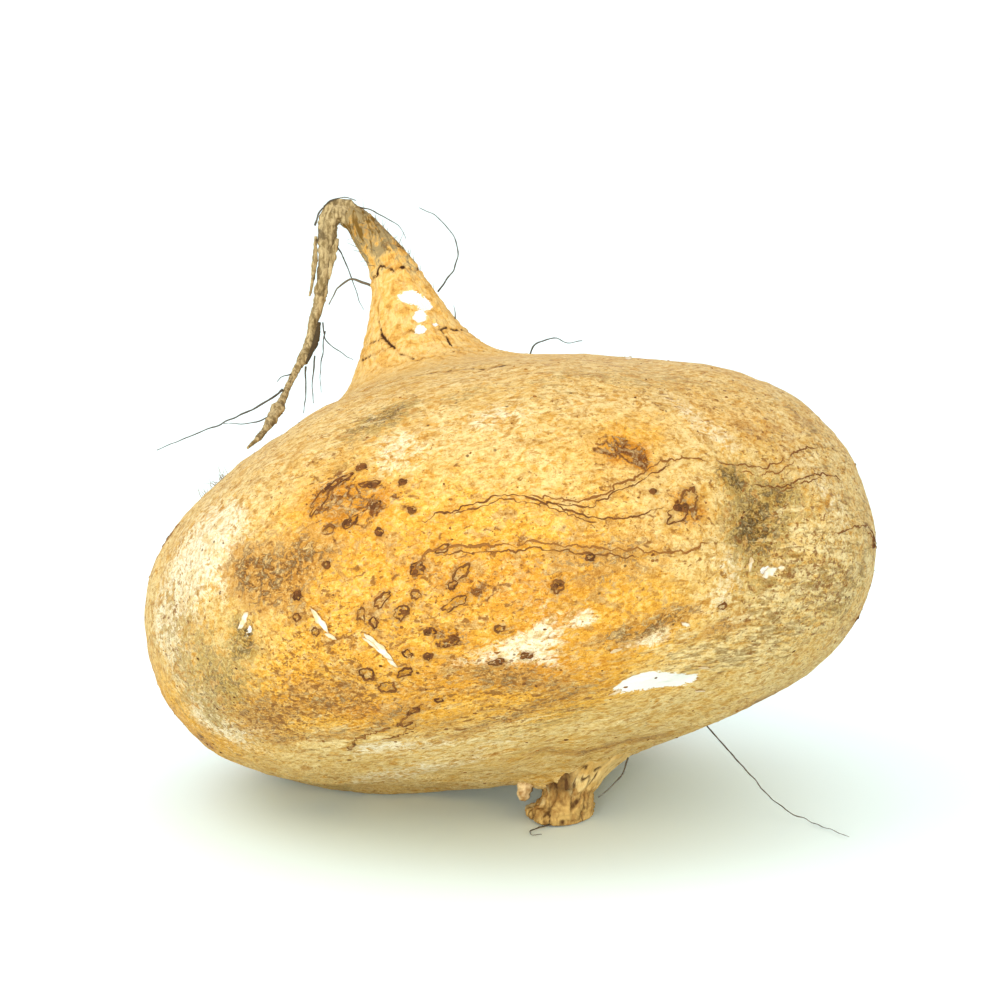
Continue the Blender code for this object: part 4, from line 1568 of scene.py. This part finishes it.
# On the right the stub spreads out smoothly into the skin.
to_right = np.clip((stub[..., 0] - 12.0) / 4.0 + 0.5, 0, 1)
flare = np.clip((stub[..., 2] - 4.4) / 2.4, 0, 1) * (0.3 + 0.7 * to_right)
stub_relief *= 1 - 0.75 * flare
stub = stub + stub_out * stub_relief[..., None]
stub[..., 2] = np.maximum(stub[..., 2], FLAT_AT)
stub_mesh = grid_mesh("stem_stub_bark", stub, stub_row[0, 0, 1:] + MIDDLE, stub_row[-1, 0, 1:] + MIDDLE)
# Painted shade: the top of the stub is darkened where the root hangs over it, fading out to the right, and
# the knobs' hollows are darkened too. The splits themselves are dark bark.
painted_shade_under_root = 0.75 * np.clip((stub[..., 2] - 3.6) / 3.2, 0, 1)
hollows = np.maximum(0.8 * split_mask, np.clip(-knobs * 1.5 - 0.35, 0, 0.8))
store(stub_mesh, "splits_and_shade", np.maximum(hollows, painted_shade_under_root * (1 - to_right)))
store(stub_mesh, "flare", flare)

print("stub relief", round(float(stub_relief.min()), 2), round(float(stub_relief.max()), 2), "mm")

# %% The bark of the stub
stem = Finish("stem_bark", 0.85, 0.2)
stem_place = stem.place()
stem_fibre = stem.clouds(stem.stretch(stem_place, (700, 700, 220)), 1.0, 5, 0.65)
stem_patch = stem.clouds(stem_place, 260.0, 4, 0.6)
stem_tone = stem.mix(stem.step(stem_fibre, 0.36, 0.62), seen(0.60, 0.43, 0.20), seen(0.86, 0.70, 0.40))
stem_tone = stem.layer(stem_tone, seen(0.93, 0.84, 0.60), stem.step(stem_patch, 0.56, 0.72), 0.8)
stem_tone = stem.layer(stem_tone, seen(0.42, 0.28, 0.12), stem.step(stem_patch, 0.44, 0.30), 0.8)
skin_like = stem.mix(stem.step(stem_patch, 0.35, 0.65), seen(0.84, 0.66, 0.35), seen(0.95, 0.82, 0.54))
stem_tone = stem.layer(stem_tone, skin_like, stem.blot(stem.field("flare"), stem_fibre, 0.30, 0.75, 1.0))
# Dark bark in the splits, with painted shade in the knobs' hollows and under the root.
in_splits_and_shade = stem.blot(stem.field("splits_and_shade"), stem_fibre, 0.30, 0.95, 1.6)
stem_tone = stem.layer(stem_tone, seen(0.34, 0.21, 0.08), in_splits_and_shade)
stem.done(stem_tone, stem.bump(stem_fibre, 0.7, 0.0006))
add_piece("stem_stub_bark", stub_mesh, stem.material, "stub", "stem_stub")
print("stem bark:", len(stem.tree.nodes), "nodes")

# %% The shoot bud
BUD_ROUTE = [(4.7, -11.0, 7.8), (4.3, -11.8, 5.9), (4.1, -12.3, 4.9), (3.8, -12.8, 3.6)]
BUD_SHARES = [0, 0.5, 0.85, 1]
BUD_RADII = [1.9, 1.3, 1.1, 0.5]
bud = Gathered()
bud_points, bud_share = along_route(BUD_ROUTE, 0.15)
bud.tube(bud_points + MIDDLE, np.interp(bud_share, BUD_SHARES, BUD_RADII), 24, 0.16, 0.2, 9.0)
bud_finish = Finish("pale_bud", 0.6, 0.3)
bud_noise = bud_finish.clouds(bud_finish.place(), 700.0, 4)
bud_finish.done(
    bud_finish.mix(bud_finish.step(bud_noise, 0.35, 0.65), seen(0.68, 0.50, 0.26), seen(0.95, 0.82, 0.58)),
    bud_finish.bump(bud_noise, 0.4, 0.0003),
)
add_piece("shoot_bud_pale", bud.mesh("shoot_bud_pale"), bud_finish.material, "bud", "shoot_bud")
print("bud:", bud.count, "points")

# %% [markdown]
# ## Corky seams, rings and specks
#
# The seams are real raised threads, set half into the skin, since a seam narrower than the
# skin's own grid could not be raised from it. A thread's radius swells and shrinks, so it
# sinks out of sight in places and reads as a broken line. Hundreds of low specks are added in
# the same way, more of them where the skin is stained.

# %% Cork seams and rings
SUNK = 0.02
# How much the thread swells, how fast along its length, and its tint: a seam, then a ring.
THREADS = [(0.8, 0.13, 0.25), (1.2, 0.30, 0.0)]

cork = Gathered()
for number, (path, radius, loop) in enumerate(SEAM_PATHS):
    swell, pace, shade = THREADS[loop]
    at = np.linspace(0, 1, len(path))
    fade = 1.0 if loop else np.minimum(1, np.minimum(at, 1 - at) * 14 + 0.25)
    flow = [0.85 + swell * noise.noise(Vector((i * pace, number * 5.0, 0.5))) for i in range(len(path))]
    radii = np.maximum(radius * np.array(flow) * fade, 0.04)
    cork.tube(lay_on_skin(path, -SUNK), radii, 6, 0.0, 0.5, number, shade + 0.4 * ((number * 0.37) % 1))
for number, (longitude, height, wide, tall, turn, full) in enumerate(RINGS_SEEN):
    if full < 0.6:
        continue
    middle, normal, east, up = skin_at(skin, longitude, height)
    for _ in range(7):
        e, u = rng.uniform(-0.6, 0.6, 2)
        spot = middle + e * wide * east + u * tall * up
        size = rng.uniform(0.18, 0.42)
        cork.dome(spot, normal, east, up, size * 1.3, size, 0.12, number + e, rng.uniform(0, 0.3), 8)
print("cork seams:", cork.count, "points")

# %% Specks and crumbs
specks = Gathered()
speck_chance = 0.22 + masks["rust"] * 1.6 + masks["murk"] * 1.1 + masks["umber"] * 0.9 + masks["warm"] * 0.5
speck_chance = np.clip(speck_chance, 0, 2.2) * (height_grid < 36) * (height_grid > -33)
SPECKS = 1500
placed = 0
for _ in range(9000):
    row, column = rng.integers(4, RINGS - 6), rng.integers(0, SEGMENTS)
    local_size = np.linalg.norm(base[row, (column + 1) % SEGMENTS] - base[row, column]) * SEGMENTS / 400
    if rng.random() * 2.6 > speck_chance[row, column] * local_size or placed >= SPECKS:
        continue
    placed += 1
    middle, normal = skin[row, column], skin_normal[row, column]
    east = np.cross([0.0, 0.0, 1.0], normal)
    east = east / (np.linalg.norm(east) + 1e-9)
    size = 0.13 + 0.22 * rng.random() ** 3
    up = np.cross(normal, east)
    wide = size * rng.uniform(1.0, 1.9)
    specks.dome(middle, normal, east, up, wide, size, size * 0.45, float(placed), rng.uniform(0, 0.9), 6)
print(placed, "specks")

# %% The cork's finish
cork_finish = Finish("cork_seams", 0.8, 0.2)
cork_grain = cork_finish.clouds(cork_finish.place(), 900.0, 3)
cork_tint = cork_finish.step(cork_finish.field("tint"), 0.0, 1.0)
cork_tone = cork_finish.mix(cork_tint, seen(0.34, 0.19, 0.06), seen(0.66, 0.44, 0.18))
in_grain = cork_finish.step(cork_grain, 0.42, 0.62)
cork_tone = cork_finish.layer(cork_tone, seen(0.55, 0.33, 0.13), in_grain, 0.5)
cork_finish.done(cork_tone, cork_finish.bump(cork_grain, 0.4, 0.0002))
add_piece("cork_seams_and_rings", cork.mesh("cork_seams_and_rings"), cork_finish.material, "skin")
add_piece("skin_specks", specks.mesh("skin_specks"), cork_finish.material, "skin")
print("specks:", specks.count, "points")

# %% [markdown]
# ## Loose flakes and tufts
#
# Slivers of the papery skin have lifted and dried pale, and a few fine hairs still stand on
# the shoulder and the neck. A sliver is a leaf-shaped sheet with a real thickness that follows
# the skin and curls up along one side. A tuft is a handful of very thin tapering hairs.

# %% Where the flakes are
# Longitude, height, length, width, turn in degrees, curl in millimetres, and tint.
FLAKES = [
    (-26.2, -5.6, 5.0, 1.3, -66, 0.45, 0.95),
    (-25.2, -8.4, 2.2, 0.8, -35, 0.30, 0.8),
    (-18.4, -11.6, 6.4, 1.4, -60, 0.50, 1.0),
    (-17.2, -14.4, 2.2, 0.8, -60, 0.35, 0.85),
    (-19.4, -10.8, 3.4, 0.7, -52, 0.40, 0.8),
    (-40.4, -2.4, 3.6, 0.9, 40, 0.6, 1.0),
    (41.5, -8.0, 0.9, 2.4, 0, 0.6, 0.9),
    (45.6, -9.6, 3.4, 1.4, 18, 0.6, 1.0),
    (48.0, -9.0, 1.4, 0.9, -20, 0.5, 0.9),
    (29.5, -16.2, 1.8, 0.8, -30, 0.35, 0.85),
    (17.6, -18.6, 2.2, 0.8, 10, 0.25, 0.7),
    (58.0, 34.4, 1.6, 0.9, 0, 0.5, 0.9),
    (19.0, -24.6, 2.4, 0.8, 15, 0.25, 0.8),
    (43.5, -25.6, 2.8, 0.9, -14, 0.35, 0.9),
    (38.0, -22.6, 3.0, 0.7, -10, 0.30, 0.7),
    (-171, -8.6, 3.4, 1.2, 20, 0.5, 0.9),
    (97, 13.0, 3.0, 1.4, -30, 0.5, 0.9),
    (-112, 9.0, 4.0, 1.5, 40, 0.5, 0.8),
    (140, -4.0, 3.2, 1.2, -20, 0.5, 0.9),
]
print(len(FLAKES), "flakes")

# %% Bend and gather the flakes
FLAKE_LONG, FLAKE_WIDE, FLAKE_THICK = 18, 8, 0.07
flakes = Gathered()
for number, (longitude, height, length, width, turn, curl, tint) in enumerate(FLAKES):
    per_east, per_up = millimetres(longitude, height)
    cos, sin = math.cos(math.radians(turn)), math.sin(math.radians(turn))
    top, under, tints = [], [], []
    for a in np.linspace(-1, 1, FLAKE_LONG):
        for b in np.linspace(-1, 1, FLAKE_WIDE):
            torn = 1 + 0.5 * noise.noise(Vector((a * 3.2 + number * 4, b * 0.4, 2.0)))
            half = width / 2 * max(0.06, (1 - a * a)) ** 0.6 * torn
            along, across = a * length / 2, b * half
            to_east, to_up = along * cos - across * sin, along * sin + across * cos
            spot, normal, _, _ = skin_at(skin, longitude + to_east * per_east, height + to_up * per_up)
            lift = 0.05 + curl * (max(0.0, b * 0.5 + 0.5) ** 2) * (0.5 + 0.5 * a * a)
            lift += 0.10 * noise.noise(Vector((a * 2.2, b * 2.2, number)))
            top.append(spot + normal * (lift + FLAKE_THICK))
            tints.append(tint - 0.32 * max(abs(a), abs(b)) ** 3)
            under.append(spot + normal * (lift - FLAKE_THICK if b > -0.9 else -0.10))
    cells = FLAKE_LONG * FLAKE_WIDE
    faces = []
    for i in range(FLAKE_LONG - 1):
        for j in range(FLAKE_WIDE - 1):
            a = i * FLAKE_WIDE + j
            faces.append((a, a + FLAKE_WIDE, a + FLAKE_WIDE + 1, a + 1))
            faces.append((cells + a, cells + a + 1, cells + a + FLAKE_WIDE + 1, cells + a + FLAKE_WIDE))
    rim = [i * FLAKE_WIDE for i in range(FLAKE_LONG)]
    rim += [(FLAKE_LONG - 1) * FLAKE_WIDE + j for j in range(1, FLAKE_WIDE)]
    rim += [i * FLAKE_WIDE + FLAKE_WIDE - 1 for i in range(FLAKE_LONG - 2, -1, -1)]
    rim += list(range(FLAKE_WIDE - 2, 0, -1))
    for first, second in zip(rim, rim[1:] + rim[:1]):
        faces.append((first, cells + first, cells + second, second))
    flakes.add(top + under, [face[::-1] for face in faces], tints * 2)
print("flakes:", flakes.count, "points")

# %% The flakes' finish
flake_finish = Finish("lifted_skin", 0.7, 0.25)
flake_grain = flake_finish.clouds(flake_finish.place(), 500.0, 4)
grain_share = flake_finish.step(flake_grain, 0.40, 0.68)
flake_tone = flake_finish.mix(grain_share, seen(0.99, 0.97, 0.90), seen(0.90, 0.80, 0.60))
torn_edge = flake_finish.step(flake_finish.field("tint"), 1.0, 0.6)
flake_tone = flake_finish.layer(flake_tone, seen(0.86, 0.70, 0.44), torn_edge, 0.7)
flake_finish.done(flake_tone, flake_finish.bump(flake_grain, 0.4, 0.0003))
add_piece("lifted_flakes", flakes.mesh("lifted_flakes"), flake_finish.material, "skin")
print("lifted skin:", len(flake_finish.tree.nodes), "nodes")

# %% Tufts and fringe
tufts = Gathered()


def add_hair(longitude, height, length, lean_east, lean_up, radius=0.07, tint=0.6):
    """A fine hair from the skin, bending over as it grows."""
    foot, normal, east, up = skin_at(skin, longitude, height)
    at = np.linspace(0, 1, 9)[:, None]
    bend = rng.normal(size=3) * 0.35
    way = normal * 0.9 + east * lean_east + up * lean_up
    points = foot - normal * 0.15 + length * (at * way + at**2 * bend)
    points[:, 2] = np.maximum(points[:, 2], 0.15)
    tufts.tube(points, radius * (1.1 - 0.85 * at[:, 0]), 4, tint=tint)


for _ in range(26):
    spot = (-76 + rng.normal() * 2.0, 26.5 + rng.normal() * 1.0)
    add_hair(*spot, rng.uniform(1.0, 2.6), rng.normal() * 0.5, rng.normal() * 0.5, 0.06, 0.9)
for _ in range(34):
    spot = (75 + rng.normal() * 22, rng.uniform(56.0, 70.0))
    add_hair(*spot, rng.uniform(0.5, 1.7), rng.normal() * 0.4, 0.9, 0.05, 0.7)
for _ in range(30):
    spot = (rng.uniform(-180, 180), rng.uniform(62.0, 72.5))
    add_hair(*spot, rng.uniform(0.6, 2.0), rng.normal() * 0.5, 0.9, 0.06, 0.5)
for _ in range(60):
    spot = (rng.uniform(-180, 180), rng.uniform(-24.0, 34.0))
    add_hair(*spot, rng.uniform(0.4, 1.1), rng.normal() * 0.6, rng.normal() * 0.6, 0.04, 0.8)
add_hair(78, 50.0, 2.2, 0.4, 0.6, 0.14, 0.3)
add_piece("fine_tufts", tufts.mesh("fine_tufts"), hair.material, "hair")
print("tufts:", tufts.count, "points")
